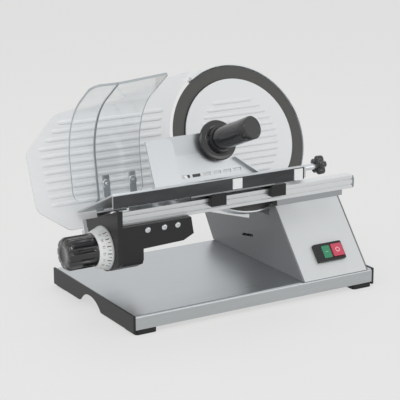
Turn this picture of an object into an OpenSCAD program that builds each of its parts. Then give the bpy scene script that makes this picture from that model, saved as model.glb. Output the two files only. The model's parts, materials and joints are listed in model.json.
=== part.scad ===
// Electric gravity-feed slicer with a sloping blade, a sliding food carriage and a thickness dial.
// Millimetres, +Z up. The origin is the middle of the front left foot's lower face.
// Inside base_frame() the origin is the front left top corner of the tray: X runs along the rail,
// Y runs to the back. Inside blade_frame() the origin is the centre of the blade's front face:
// X is the same, Y runs back along the blade shaft, Z runs up the slope of the blade.

/* [Base] */
// length of the base tray along the rail
base_length = 452; // [380:1:560]
// depth of the base tray
base_depth = 285; // [240:1:340]
// height of the tray's top over the table
base_height = 31; // [26:0.5:40]
// height of the tray's folded front and back flanges
tray_flange = 23; // [16:0.5:26]
// thickness of the tray sheet
tray_sheet = 2; // [1.5:0.1:3]
// outside radius of the folded tray edges
tray_bend = 4; // [3:0.5:8]
// thickness of the black end panels
panel_thickness = 4; // [3:0.5:6]
// how far the end panels reach below the tray's top
panel_drop = 27.5; // [24:0.5:30]
// distance of the arch's middle from the front
arch_middle = 150; // [130:1:180]
// half the width of the arch cut from the panels
arch_half_width = 38; // [25:1:50]
// height of the arch
arch_rise = 18; // [10:0.5:22]
// width of a foot along the rail
foot_width = 38; // [25:1:50]
// depth of a foot
foot_depth = 40; // [25:1:50]
// corner radius of a foot
foot_corner = 6; // [3:0.5:10]

/* [Tower] */
// width of the motor tower
tower_width = 131.5; // [110:0.5:170]
// space between the tower and the tray's right end
tower_inset = 8; // [2:0.5:50]
// height of the tower's front top edge over the tray
tower_top = 108.5; // [95:0.5:120]
// how far the front face leans back over that height
tower_lean = 89; // [60:1:100]
// depth of the flat ledge that carries the rail
tower_ledge = 15; // [12:0.5:20]
// height of the tower's roof just behind that ledge
roof_front_height = 90; // [80:0.5:95]
// distance from the front to the step in the roof
roof_step_depth = 166; // [150:1:180]
// height of the roof just ahead of the step
roof_step_top = 86; // [78:0.5:92]
// height of the roof just behind the step
roof_step_low = 69; // [55:0.5:76]
// height of the roof at the back
roof_back_height = 45; // [35:0.5:60]
// how far the back wall leans back
back_lean = 31; // [20:1:45]
// thickness of the tower's walls
tower_wall = 3; // [2:0.1:5]
// length of the slot in the left side plate
side_slot_length = 34; // [20:1:50]
// height of the slot in the left side plate
side_slot_height = 4.5; // [3:0.5:8]
// how far the slot falls to the back, in degrees
side_slot_fall = 9.5; // [0:0.5:15]

/* [Switch] */
// distance of the switch's middle from the tower's left side
switch_from_left = 68; // [37.5:0.5:97.5]
// distance of the switch's middle up the front face
switch_height = 43; // [35:0.5:80]
// width of the switch frame
bezel_width = 56; // [54:0.5:70]
// height of the switch frame
bezel_height = 32; // [26:0.5:40]
// how far the frame stands off the face
bezel_depth = 5; // [3:0.5:8]
// width of the green start button
start_width = 16; // [12:0.5:18]
// width of the red stop button
stop_width = 21; // [19:0.5:24]
// height of both push buttons
button_height = 22; // [16:0.5:26]
// how far the stop button stands out of its frame
button_proud = 3; // [3:0.1:5]
// how far the start button's face lies behind the stop button's
start_sink = 2.5; // [0:0.1:3]
// how far a button can be pressed
button_travel = 2.5; // [1.5:0.1:2.8]
// space between the two buttons
button_space = 1.5; // [1.5:0.1:3]
// room between the stop button and the frame's right side
button_side = 3; // [2:0.1:4]

/* [Blade] */
// how far the blade's centre lies to the left of the tower
blade_beside = 21.9; // [0:0.1:40]
// blade centre from the front of the tray
blade_y = 165; // [150:0.5:180]
// blade centre over the tray
blade_z = 213.4; // [195:0.2:230]
// slope of the blade away from upright, in degrees
blade_tilt = 24.5; // [15:0.5:35]
// radius of the circular blade
blade_radius = 125; // [105:0.5:130]
// thickness of the blade
blade_thickness = 3; // [2:0.1:4]
// width of the ground bevel at the edge
blade_bevel = 9; // [4:0.5:14]
// space between the blade's edge and the ring guard
ring_gap = 1.2; // [0.8:0.1:3]
// width of the ring guard's rim
ring_rim = 2.2; // [2:0.1:6]
// depth of the ring guard's rim
ring_depth = 15; // [10:0.5:20]
// where the open part of the ring starts, in degrees from +X
ring_open_start = 121; // [90:1:140]
// where the open part of the ring ends, in degrees from +X
ring_open_end = 238; // [200:1:260]
// radius of the ribbed blade cover
cover_radius = 102; // [80:0.5:110]
// thickness of the blade cover
cover_thickness = 3; // [2:0.1:5]
// space between the cover and the blade
cover_gap = 1; // [0.6:0.1:2]
// spacing of the ribs on the cover
cover_rib_pitch = 11; // [8:0.2:16]
// number of ribs on the cover
cover_ribs = 12; // [8:1:14]
// radius of the round ribs
rib_radius = 2; // [1:0.1:3]
// how deep the rib's middle lies in the plate
rib_sink = 0.8; // [0.2:0.1:1.5]

/* [Drive] */
// radius of the hollow blade shaft
shaft_radius = 8.5; // [7:0.1:11]
// radius of the tie rod in the hollow shaft
tie_radius = 4; // [3:0.1:5]
// outside radius of a ball bearing
bearing_radius = 17.5; // [15:0.5:21]
// width of a ball bearing
bearing_width = 10; // [8:0.5:12]
// radius of the blade pulley
blade_pulley_radius = 24; // [18:0.5:26]
// radius of the motor pulley
motor_pulley_radius = 8; // [6:0.5:12]
// width of the belt
belt_width = 9; // [6:0.5:12]
// thickness of the belt
belt_thickness = 2; // [1.5:0.1:3]
// motor axis to the right of the blade axis
motor_offset = 75; // [70:0.5:80]
// motor axis down the slope from the blade axis
motor_drop = 170; // [160:0.5:180]
// radius of the motor
motor_radius = 30; // [24:0.5:34]
// length of the motor
motor_length = 50; // [36:0.5:60]
// front face of the head casting behind the blade
head_front = 18; // [16:0.5:22]
// back face of the head casting
head_back = 50; // [46:0.5:54]
// outside radius of the head casting round the shaft
head_radius = 38; // [34:0.5:42]
// half width of the head casting's leg
head_half_width = 28; // [26:0.5:30]
// wall of the head casting
head_wall = 3; // [2.5:0.1:5]

/* [Gauge plate] */
// thickness of the gauge plate
gauge_thickness = 4; // [3:0.1:6]
// how far its face stands in front of the blade's face
gauge_face = 3; // [1:0.1:4]
// radius of the round cut beside the blade
gauge_arc = 131.5; // [128:0.1:136]
// spacing of the ribs on the gauge plate
gauge_rib_pitch = 12.8; // [10:0.2:18]
// number of ribs on the gauge plate
gauge_ribs = 11; // [8:1:12]
// height of the highest rib over the blade centre
gauge_rib_top = 63; // [50:1:72]
// slice thickness at the widest setting
gauge_travel = 15; // [10:0.5:18]
// radius of the two guide rods
guide_radius = 5; // [4:0.1:6]

/* [Thickness control] */
// axis of the knob from the front
knob_y = 122.3; // [115:0.1:130]
// axis of the knob over the tray
knob_z = 76.7; // [70:0.1:82]
// radius of the fluted knob
knob_radius = 27; // [20:0.5:30]
// length of the fluted knob
knob_length = 50; // [30:0.5:60]
// number of flutes round the knob
knob_flutes = 10; // [6:1:14]
// radius of one flute
flute_radius = 4.5; // [3:0.1:6]
// large radius of the cone-shaped scale
dial_radius = 36; // [32:0.5:37]
// small radius of the cone-shaped scale
dial_small_radius = 28.5; // [26:0.5:32]
// length of the cone-shaped scale
dial_length = 22; // [14:0.5:26]
// left face of the control housing
housing_left = 10; // [5:0.5:15]
// thickness of its left plate
housing_plate = 9; // [6:0.5:12]
// right face of the housing's body
housing_right = 57; // [50:0.5:64]
// radius of the knob's shaft
knob_shaft_radius = 6; // [4:0.1:8]
// smallest radius of the spiral cam
cam_low = 13; // [10:0.5:16]
// radius of the follower roller
roller_radius = 6; // [4:0.1:8]
// turn of the knob over the whole range, in degrees
knob_turn = 300; // [240:5:320]

/* [Rail] */
// front face of the rail from the front of the tray
rail_front = 86; // [80:0.5:90]
// depth of the rail
rail_depth = 20; // [16:0.5:24]
// lower face of the rail over the tray
rail_low = 118.8; // [110:0.2:124]
// height of the rail
rail_height = 22.7; // [18:0.1:26]
// how far the rail reaches past the tray's right end
rail_overhang = 19; // [0:0.5:28]
// size of the grooves along the rail
rail_groove = 1.6; // [1:0.1:2.5]

/* [Carriage] */
// left end of the food table
table_left = -35; // [-50:0.5:-20]
// how far the food table reaches to the right of the blade's centre
table_beyond = 19.4; // [0:0.1:39]
// how far the table reaches in front of the blade
table_reach = 145; // [120:0.5:170]
// height of the table's top below the blade centre, along the slope
table_drop = 81; // [76:0.5:84]
// thickness of the table sheet
table_sheet = 3; // [2:0.1:4]
// height of the front skirt
skirt_height = 23.5; // [16:0.5:28]
// how far the right slide shoe's middle lies past the table's right end
shoe_beyond = 3; // [-15:0.5:10]
// spacing of the two slide shoes
shoe_pitch = 116; // [90:0.5:135]
// length of a slide shoe
shoe_length = 29; // [26:0.5:44]

/* [Guard] */
// left edge of the clear guard
guard_left_edge = -48; // [-60:0.5:-40]
// line where the two guard panels meet
guard_split = -5; // [-10:0.5:0]
// right edge of the clear guard
guard_right_edge = 74; // [65:0.5:80]
// thickness of the clear panels
guard_thickness = 4; // [3:0.1:5]
// how far the guard's foot stands in front of the blade
guard_foot = 32; // [26:0.5:40]
// length of the guard's straight lower part
guard_straight = 62; // [50:0.5:70]
// lean of the lower part toward the operator, in degrees
guard_lean = 15.3; // [10:0.1:20]
// radius of the guard's bend
guard_bend = 110; // [95:0.5:120]
// lean of the upper part, in degrees from the table's slope
guard_roof = 12; // [5:0.5:20]
// length of the straight upper part of the left panel
guard_roof_left = 48; // [30:0.5:60]
// length of the straight upper part of the right panel
guard_roof_right = 64; // [50:0.5:80]

/* [Pusher] */
// distance of the pusher plate in front of the blade
pusher_reach = 118; // [110:0.5:125]
// left edge of the pusher plate
pusher_left = 86; // [80:0.5:95]
// right edge of the pusher plate at the table
pusher_right = 237; // [225:0.5:245]
// height of the pusher plate
pusher_height = 78; // [60:0.5:90]
// middle of the handle along the rail direction
handle_x = 172; // [150:0.5:180]
// radius of the black handle
handle_radius = 18.5; // [14:0.5:20]
// length of the black handle in front of its cone
handle_length = 66; // [50:0.5:80]
// radius of the black disc
disc_radius = 32.5; // [28:0.5:38]
// turn of the handle toward the right, in degrees
handle_turn = 16; // [0:1:20]
// how far the pusher can go toward the blade
pusher_travel = 95; // [60:1:100]

/* [Fits] */
// radial space between turning and sliding fits
run_gap = 0.05; // [0.02:0.01:0.1]
// side space beside moving pieces
side_gap = 0.4; // [0.3:0.05:1]

/* [Hidden] */
// one overrun for cuts, and one length longer than the whole machine
cut = 1;
far = 900;
round_fn = 72;
corner_steps = 8;

// places along the rail, from the tray's left end
tower_right = base_length - tower_inset;
tower_left = tower_right - tower_width;
switch_middle = tower_left + switch_from_left;
blade_x = tower_left - blade_beside;
rail_right = base_length + rail_overhang;
table_right = blade_x + table_beyond;
shoe_two = table_right + shoe_beyond;
shoe_one = shoe_two - shoe_pitch;

// base
foot_height = base_height - tray_flange;
foot_x = foot_width / 2;
foot_y = foot_depth / 2;
arch_radius = (arch_half_width * arch_half_width + arch_rise * arch_rise) / arch_rise / 2;
panel_lip = 1;
shelf_thickness = 3;
foot_screw_radius = 2;
foot_head_radius = 4.5;
foot_head_height = 3;
foot_head_recess = 1;
pan_side = 2;
pan_lap = 6;
pan_wall = 2;
pan_vents = 5;
pan_vent_start = 19;
pan_vent_width = 4;
pan_vent_side = 20;
gland_from_right = 70;
gland_radius = 9;
gland_neck_radius = 6;
gland_bore = 3.5;
gland_length = 10;
gland_neck_length = 6;

// tower section, seen from the side
lean_angle = atan(tower_lean / tower_top);
ledge_back = tower_lean + tower_ledge;
front_run = tower_wall / cos(lean_angle);
back_run = tower_wall / cos(atan(back_lean / roof_back_height));
back_y = base_depth + back_lean;
roof_slope = (roof_step_top - roof_front_height) / (roof_step_depth - ledge_back);
rear_slope = (roof_back_height - roof_step_low) / (back_y - roof_step_depth);
side_slot_y = 154;
side_slot_z = 35.5;
back_vents = 6;
back_vent_start = 25;
back_vent_pitch = 14;
back_vent_width = 6;
back_vent_low = 12;
back_vent_high = 30;
box_inset = 19;
box_width = 45;
box_depth = 40;
box_height = 24;
box_behind = 62;

// switch
bezel_lap = 7.5;
opening_x = bezel_width / 2 - bezel_lap;
opening_z = 13;
bezel_corner = 2.5;
button_corner = 1.5;
stop_x = bezel_width / 2 - button_side - stop_width / 2;
start_x = stop_x - stop_width / 2 - button_space - start_width / 2;
stem_radius = 4;
stem_length = 8;
socket_depth = 12;
switch_body_depth = 30;

// places in the blade frame: o is the distance in front of the blade, s the distance up its slope
ct = cos(blade_tilt);
st = sin(blade_tilt);
function row_y(o, s) = blade_y - o * ct + s * st;
function row_z(o, s) = blade_z + o * st + s * ct;
function loc_o(y, z) = (blade_y - y) * ct + (z - blade_z) * st;
function loc_s(y, z) = (y - blade_y) * st + (z - blade_z) * ct;
// height of the plane s at the depth y
function plane_z(y, s) = blade_z + (s - (y - blade_y) * st) / ct;

// ring guard, hub and cover
ring_inner = blade_radius + ring_gap;
ring_outer = ring_inner + ring_rim;
ring_lip = 2;
ring_flange = 10;
bar_angle = 116;
bar_width = 5;
bar_half_length = 13;
bar_depth = 3;
blade_hole_radius = 3;
blade_hole_circle = 18;
blade_holes = 3;
hub_length = 8;
hub_radius = 28;
spider_front = 12.5;
spider_sheet = 2.5;
spider_radius = 42;
spider_hole = 31;
spider_seat = 37;
spider_arm = 14;
spider_angles = [85, 15, -50];
cover_front = -cover_gap - cover_thickness;
cover_rib_top = 62.5;
cover_rib_circle = 73;
cover_recess = 1;
tie_head_radius = 8.5;
tie_head_room = 0.5;
tie_head_height = 2;

// drive
bearing_front = head_front - head_wall;
bearing_rear = head_back - head_wall;
pulley_middle = (head_front + head_back) / 2;
pulley_lip = 1.2;
pulley_rim = 1;
pulley_half = belt_width / 2 + pulley_rim + side_gap;
boss_wall = 4;
boss_radius = bearing_radius + boss_wall;
boss_lip = 1;
shaft_room = 2;
shaft_end = bearing_rear + bearing_width + boss_lip;
cap_thickness = 5;
cap_room = 1;
cap_back = shaft_end + cap_thickness;
lock_core_radius = 12;
lock_lobe_radius = 4;
lock_lobe_circle = 11;
lock_lobes = 5;
lock_lobe_front = 3;
lock_lobe_inset = 1;
lock_length = 14;
lock_end_wall = 2;
belt_length = sqrt(motor_offset * motor_offset + motor_drop * motor_drop);
belt_turn = atan(motor_offset / motor_drop);
belt_wrap = asin((blade_pulley_radius - motor_pulley_radius) / belt_length);
belt_steps = 36;
motor_gap = 2;
motor_front = head_back + motor_gap;
motor_plate = 4;
service_front_room = 17;
service_back_room = 3;
motor_shaft_radius = 5;
motor_boss_radius = 11;
motor_shell = 5;
motor_end_wall = 4;
motor_wall = 2;
rotor_gap = 2;
rotor_side = 1;
// opening in the tray that lets the motor's lower end through
service_side = 6;
service_front = row_y(-motor_front, -motor_drop - motor_radius) - service_front_room;
service_back = row_y(-motor_front - motor_plate - motor_length, -motor_drop) + service_back_room;
bracket_left = 36;
bracket_low = 24;
bracket_high = 28;
bracket_flange = 30;
head_leg = 150;
deflector_seat_x = -31;
deflector_bend_x = -52;
deflector_tip_x = -106;
deflector_tip_y = 24;
deflector_sheet = 1.5;
deflector_low = -45;
deflector_height = 80;
deflector_slope = atan((head_back + deflector_sheet - deflector_tip_y)
  / (deflector_bend_x - deflector_tip_x));

// gauge plate: its corners are shares of its reach to the left, of its rise or fall from the
// blade centre, and of its corner radius
gauge_overhang = 98.4;
gauge_reach = blade_x + gauge_overhang;
gauge_rise = 123.5;
gauge_fall = 108;
gauge_corner = 18;
gauge_corner_shares = [[-0.169, 1, 0], [-0.845, 0.62, 2], [-0.995, 0.18, 0.9], [-1, -0.657, 1.2],
  [-0.873, -1, 1], [-0.154, -1, 0], [-0.1825, 0.854, 0], [-0.2144, 0.866, 0]];
notch_left = 9.4;
notch_right = 7.6;
notch_top = -88;
notch_reach = 36;
notch_step = -94.5;
rib_inset = 24;
rib_corner_inset = 27;
rib_slant_from = 27;
rib_slant_share = 1.08;
rib_low = -60;
rib_circle = 148;

// thickness control, in the blade frame round the knob's axis
knob_o = loc_o(knob_y, knob_z);
knob_s = loc_s(knob_y, knob_z);
cam_inset = 20;
cam_width = 6;
cam_left = housing_left + cam_inset;
cam_right = cam_left + cam_width;
cam_steps = 60;
cam_overrun = 10;
roller_y = -knob_o + cam_low + roller_radius + side_gap;
roller_pin_radius = 2.5;
roller_arm = 5;
roller_arm_half = 5;
roller_arm_front = 4;
roller_side = 1;
roller_room = 3;
rod_s = -103;
rod_wall_low = -111;
rod_side = 8;
rod_far_side = 12;
rod_xs = [cam_left - rod_side, cam_right + rod_far_side];
rod_wall_front = 18;
rod_wall_back = 30;
rod_seat = 2;
rod_spare = 7;
leg_gap = 3.2;
leg_depth = 14;
leg_side = 10;
leg_drop = 8;
carrier_low = -83;
carrier_top = -72;
pad_top = -40;
pad_depth = 5;

// control housing: places from the knob's axis, up and to the back
housing_skin = 4;
housing_step = 10;
plate_step = 13;
plate_rise = 29.2;
roof_bend = 31.5;
tail_back = 58.7;
tail_top = 32.3;
tail_low = 20.3;
heel_back = 35.7;
heel_rise = 7.3;
belly_drop = 37;
toe_front = 22.3;
toe_drop = 32.7;
chin_front = 42.3;
chin_drop = 22.7;
throat_drop = 14.7;
housing_front = rail_front - housing_step;
leg_front = leg_gap - loc_o(knob_y + tail_back, knob_z + tail_low);
leg_back = leg_front + leg_depth;
rod_end = leg_back + gauge_travel + rod_spare;
collar_radius = 38;
dial_seat_depth = 1.5;
dial_proud = 1;
dial_rim = 3;
shaft_boss_radius = 10;
shaft_side = 1;
shaft_boss_gap = 2;
shaft_boss_right = 7;
arm_length = 92;
arm_drop = 39.3;
arm_depth = 26;
arm_shares = [[0, 1], [0.794, 0.936], [1, 0.707], [0.951, 0]];
arm_screw_shares = [0.087, 0.413, 0.679];
arm_screw_drop = 9.4;
arm_screw_head = 5;
arm_screw_head_height = 2;
arm_screw_radius = 2;
arm_screw_length = 9;
arm_boss_radius = 5.5;
arm_boss_length = 11;
knob_bevel = 4;
flute_depth = 2.6;
flute_stop = 5;
shaft_reach = 34;

// rail
rail_wall = 5;
groove_low = 5.5;
groove_high = 15;
groove_width = 2;
foot_inset = 6;
foot_overhang = 8;
cap_nose = 4;
cap_nose_drop = 8;
cap_shoulder = 2;
cap_shoulder_drop = 1;
cap_heel = 3.5;
cap_heel_rise = 2;
stop_from_left = 12;
stop_length = 16;
stop_lip = 4;
stop_front = 1;
stop_back = 7;
stop_sheet = 3;
stop_height = 6;

// carriage
table_s = -table_drop;
table_low_s = -table_drop - table_sheet;
table_back = 9;
skirt_bend = 3.5;
skirt_y = row_y(table_reach, table_s);
skirt_z = row_z(table_reach, table_s);
bend_y = skirt_y + skirt_bend;
bend_z = plane_z(bend_y, table_s - skirt_bend);
table_run = (row_y(table_back, table_s - skirt_bend) - bend_y) / ct;
skirt_run = skirt_height - skirt_z + bend_z;
slot_inset = 8;
slot_pitch = 32;
slot_xs = [pusher_left + slot_inset, pusher_left + slot_inset + slot_pitch];
slot_width = 8;
slot_spare = 12;
slot_room = 6;
shoe_front = 10;
shoe_low = 129;
shoe_top = 7.5;
shoe_flat = 8;
shoe_back = 5;
shoe_back_top = 2;
shoe_front_y = rail_front - shoe_front;
shoe_top_z = rail_low + rail_height + shoe_top;
shoe_flat_y = rail_front + rail_depth - shoe_flat;
beam_before = 51;
beam_right_inset = 4;
beam_inset = 2;
clamp_before = 22.5;
clamp_width = 17;
clamp_rise = 1.5;
clamp_end_width = 16;
clamp_end_inset = 4;
clamp_sheet = 2;
wall_left = -3;
wall_right = 86;
wall_top = -8;
wall_corner = 12;
wall_inset = 6;
wall_sheet = 2;
wall_foot = 20;
star_plate = 3;
star_plate_depth = 16;
star_plate_rise = 2;
star_rod_radius = 5;
star_rod_length = 33;
star_behind = 8;
star_drop = 8;
star_start = 26;
star_length = 15;
star_core_radius = 10.5;
star_lobe_radius = 5.2;
star_lobe_inset = 1.5;
star_lobes = 5;

// clear guard
guard_foot_s = -71;
guard_half = guard_thickness / 2;
guard_corner = 16;
guard_cut = 14;
guard_cut_inset = 8;
gl_s = sin(guard_lean);
gl_c = cos(guard_lean);
bend_mid_o = guard_foot + guard_straight * gl_s + guard_bend * gl_c;
bend_mid_s = guard_foot_s + guard_straight * gl_c - guard_bend * gl_s;
roof_o = bend_mid_o - guard_bend * sin(guard_roof);
roof_s = bend_mid_s + guard_bend * cos(guard_roof);
stay_half = 1.3;
post_radius = 3;
post_shift = 2;
post_collar = 5;
post_collar_gap = 2;
stay_lap = 2;
stay_button_radius = 6;
stay_button_depth = 4.5;
clip_from_split = 7.5;
clip_from_edge = 25;
clip_xs = [guard_split + clip_from_split, guard_right_edge - clip_from_edge];
clip_width = 12;
clip_height = 45;
clip_sheet = 3;
clip_foot = 20;

// pusher
handle_s = -20;
pusher_sheet = 2;
pusher_chamfer = 6;
pusher_slant = 38;
pusher_slant_height = 32;
pusher_top_inset = 50;
pusher_flange = 10;
pusher_flange_run = 2.5;
slider_front = 9;
slider_back = 5;
slider_foot = 3;
slider_side = 5;
slider_lap = 1;
teeth_count = 6;
teeth_start = 14;
teeth_pitch = 18.6;
teeth_width = 14.5;
teeth_low = 10;
teeth_height = 5;
stub_radius = 6;
stub_length = 6;
disc_boss_radius = 11;
disc_boss_length = 8;
disc_thickness = 4;
cone_length = 10;
cone_big = 4;
cone_small = 2.5;
handle_bevel = 1.5;
handle_inside = 8;

module base_frame() { translate([-foot_x, -foot_y, base_height]) children(); }
module blade_frame() {
  base_frame() translate([blade_x, blade_y, blade_z]) rotate([-blade_tilt, 0, 0]) children();
}
// the blade frame with X counted from the tray's left end
module slope_frame() { blade_frame() translate([-blade_x, 0, 0]) children(); }
module face_frame() { base_frame() rotate([-lean_angle, 0, 0]) children(); }
// a flat outline in Y and Z, drawn out along X
module prism_x(x0, x1) { translate([x0, 0, 0]) rotate([90, 0, 90]) linear_extrude(x1 - x0) children(); }
// a flat outline in X and Z, drawn out along Y
module plate_y(y0, y1) { translate([0, y1, 0]) rotate([90, 0, 0]) linear_extrude(y1 - y0) children(); }
module round_bar(r, h) { cylinder(r = r, h = h, $fn = round_fn); }
module disc_y(r, y0, y1) { translate([0, y1, 0]) rotate([90, 0, 0]) round_bar(r, y1 - y0); }
module rod_x(r, x0, x1) { translate([x0, 0, 0]) rotate([0, 90, 0]) round_bar(r, x1 - x0); }
module box(x0, x1, y0, y1, z0, z1) { translate([x0, y0, z0]) cube([x1 - x0, y1 - y0, z1 - z0]); }
module area(x0, x1, y0, y1) { translate([x0, y0]) square([x1 - x0, y1 - y0]); }
module round_area(x0, x1, y0, y1, r) {
  area(x0 + r, x1 - r, y0, y1);
  area(x0, x1, y0 + r, y1 - r);
  for (x = [x0 + r, x1 - r]) for (y = [y0 + r, y1 - r]) translate([x, y]) circle(r = r, $fn = round_fn);
}
// points of a round corner of radius r at p, between its neighbours a and b
function toward(p, q) = (q - p) / norm(q - p);
function turn(a) = a > 180 ? a - 360 : a < -180 ? a + 360 : a;
function corner(p, a, b, r) = let (u = toward(p, a), w = toward(p, b), half = acos(u * w) / 2,
  m = p + (u + w) / norm(u + w) * r / sin(half),
  f = p + u * r / tan(half) - m, e = p + w * r / tan(half) - m,
  start = atan2(f[1], f[0]), sweep = turn(atan2(e[1], e[0]) - start))
  [for (i = [0:corner_steps]) let (g = start + sweep * i / corner_steps) m + r * [cos(g), sin(g)]];
function round_points(ps, rs) = let (n = len(ps)) [for (i = [0:n - 1])
  for (q = rs[i] > 0 ? corner(ps[i], ps[(i + n - 1) % n], ps[(i + 1) % n], rs[i]) : [ps[i]]) q];
// a sheet bent round the origin from angle a0 to a1, with a straight tail at each end
module bent_sheet(r0, r1, a0, a1, tail0, tail1) {
  n0 = [cos(a0), sin(a0)];
  n1 = [cos(a1), sin(a1)];
  difference() {
    union() {
      circle(r = r1, $fn = round_fn);
      rotate([0, 0, a0]) area(0, r1, -tail0, 0);
      rotate([0, 0, a1 - 90]) area(-tail1, 0, 0, r1);
    }
    circle(r = r0, $fn = round_fn);
    polygon([r0 * n0 + far * [n0[1], -n0[0]], r0 * n0, r0 * n1, r0 * n1 + far * [-n1[1], n1[0]]]);
  }
}

// base

module tray_section() {
  t = tray_sheet;
  r = tray_bend;
  difference() {
    union() {
      area(0, base_depth, -tray_flange, -r);
      area(r, base_depth - r, -tray_flange, 0);
      for (y = [r, base_depth - r]) translate([y, -r]) circle(r = r, $fn = round_fn);
    }
    area(t, base_depth - t, -far, -r);
    area(r, base_depth - r, -far, -t);
    for (y = [r, base_depth - r]) translate([y, -r]) circle(r = r - t, $fn = round_fn);
  }
}
module base_tray() {
  color("#c9ccce") base_frame() difference() {
    prism_x(0, base_length) tray_section();
    box(tower_left + service_side, tower_right - service_side, service_front, service_back, -far, far);
    translate([base_length - gland_from_right, 0, -tray_flange / 2])
      disc_y(gland_neck_radius, base_depth - tray_sheet - cut, far);
  }
}
// an end panel with the two shelves that the feet are screwed to
module end_panel(x0, shelf_x, screw_x) {
  prism_x(x0, x0 + panel_thickness) difference() {
    area(0, base_depth, -panel_drop, panel_lip);
    translate([arch_middle, -panel_drop + arch_rise - arch_radius]) circle(r = arch_radius, $fn = round_fn);
  }
  for (y = [foot_y, base_depth - foot_y]) difference() {
    translate([shelf_x, y - foot_y + tray_sheet, -tray_flange])
      cube([foot_width, foot_depth - 2 * tray_sheet, shelf_thickness]);
    translate([screw_x, y, -far]) cylinder(r = foot_screw_radius + run_gap, h = far, $fn = round_fn);
  }
}
module left_panel() { color("#1d1e20") base_frame() end_panel(-panel_thickness, 0, foot_x); }
module right_panel() {
  color("#1d1e20") base_frame() end_panel(base_length, base_length - foot_width, base_length - foot_x);
}
module at_feet() {
  for (x = [foot_x, base_length - foot_x]) for (y = [foot_y, base_depth - foot_y])
    translate([x, y, -base_height]) children();
}
module rubber_feet() {
  recess = foot_head_recess + foot_head_height;
  color("#151515") base_frame() at_feet() difference() {
    linear_extrude(foot_height) round_area(-foot_x, foot_x, -foot_y, foot_y, foot_corner);
    translate([0, 0, -cut]) cylinder(r = foot_head_radius + side_gap, h = recess + cut, $fn = round_fn);
    translate([0, 0, -cut]) cylinder(r = foot_screw_radius + run_gap, h = far, $fn = round_fn);
  }
}
module foot_screws() {
  color("#9a9da0") base_frame() at_feet() translate([0, 0, foot_head_recess]) {
    cylinder(r = foot_head_radius, h = foot_head_height, $fn = round_fn);
    cylinder(r = foot_screw_radius, h = foot_height + shelf_thickness, $fn = round_fn);
  }
}
module bottom_cover() {
  x0 = tower_left + pan_side;
  x1 = tower_right - pan_side;
  y0 = service_front - pan_lap;
  y1 = service_back + pan_lap;
  vent_pitch = (y1 - y0 - 2 * pan_vent_start - pan_vent_width) / (pan_vents - 1);
  color("#2b2c2e") base_frame() difference() {
    box(x0, x1, y0, y1, -tray_flange, -tray_sheet);
    box(x0 + pan_wall, x1 - pan_wall, y0 + pan_wall, y1 - pan_wall, pan_wall - tray_flange, far);
    for (i = [0:pan_vents - 1]) translate([0, y0 + pan_vent_start + i * vent_pitch, 0])
      box(x0 + pan_vent_side, x1 - pan_vent_side, 0, pan_vent_width, -far, 0);
  }
}

// tower

module tower_section() {
  polygon([[0, 0], [tower_lean, tower_top], [ledge_back, tower_top], [ledge_back, roof_front_height],
    [roof_step_depth, roof_step_top], [roof_step_depth, roof_step_low],
    [back_y, roof_back_height], [base_depth, 0]]);
}
module tower_hollow() {
  w = tower_wall;
  lean = tower_lean / tower_top;
  polygon([[front_run - far * lean, -far], [front_run + (tower_top - w) * lean, tower_top - w],
    [ledge_back - w, tower_top - w], [ledge_back - w, roof_front_height - w],
    [roof_step_depth - w, roof_step_top - w - w * roof_slope],
    [roof_step_depth - w, roof_step_low - w - w * rear_slope],
    [back_y - back_run - w * back_lean / roof_back_height, roof_back_height - w],
    [base_depth - back_run, 0], [base_depth - back_run, -far]]);
}
module tower_shell() {
  color("#c4c7c9") difference() {
    base_frame() difference() {
      prism_x(tower_left + tower_wall, tower_right - tower_wall) tower_section();
      prism_x(0, far) tower_hollow();
      for (i = [0:back_vents - 1]) translate([tower_left + back_vent_start + i * back_vent_pitch, 0, 0])
        box(0, back_vent_width, base_depth - back_run - tower_wall, far, back_vent_low, back_vent_high);
    }
    blade_frame() belt_window();
    face_frame() switch_hole();
  }
}
module belt_window() {
  side = head_wall + side_gap;
  plate_y(head_front + side, head_back - side) rotate([0, 0, belt_turn])
    area(side - head_half_width, head_half_width - side, -motor_drop, 0);
}
module tower_left_plate() {
  half = side_slot_length / 2;
  rise = side_slot_height / 2;
  color("#3a3c3f") base_frame() difference() {
    prism_x(tower_left, tower_left + tower_wall) tower_section();
    translate([0, side_slot_y + half, side_slot_z + rise]) rotate([-side_slot_fall, 0, 0])
      box(0, far, -half, half, -rise, rise);
  }
}
module tower_right_plate() {
  color("#3a3c3f") base_frame() prism_x(tower_right - tower_wall, tower_right) tower_section();
}
module cord_gland() {
  color("#1a1a1a") base_frame() translate([base_length - gland_from_right, base_depth, -tray_flange / 2])
    difference() {
      union() {
        disc_y(gland_radius, 0, gland_length);
        disc_y(gland_neck_radius - run_gap, -gland_neck_length, cut);
      }
      disc_y(gland_bore, -far, far);
    }
}
module control_box() {
  x1 = tower_right - box_inset;
  color("#d8d4c4") base_frame() box(x1 - box_width, x1, box_behind, box_behind + box_depth, 0, box_height);
}
module switch_area(half_x, half_z) {
  area(switch_middle - half_x, switch_middle + half_x, switch_height - half_z, switch_height + half_z);
}
module switch_hole() { plate_y(-far, far) switch_area(opening_x, opening_z); }
module switch_bezel() {
  color("#141414") face_frame() difference() {
    plate_y(-bezel_depth, 0) round_area(switch_middle - bezel_width / 2, switch_middle + bezel_width / 2,
      switch_height - bezel_height / 2, switch_height + bezel_height / 2, bezel_corner);
    for (b = [[start_x, start_width], [stop_x, stop_width]]) translate([b[0], 0, 0]) plate_y(-far, far)
      switch_area(b[1] / 2 + side_gap, button_height / 2 + side_gap);
  }
}
module switch_body() {
  color("#202224") face_frame() difference() {
    plate_y(0, switch_body_depth) switch_area(opening_x - run_gap, opening_z - run_gap);
    for (x = [start_x, stop_x]) translate([switch_middle + x, 0, switch_height])
      disc_y(stem_radius + run_gap, -cut, socket_depth);
  }
}
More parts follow.
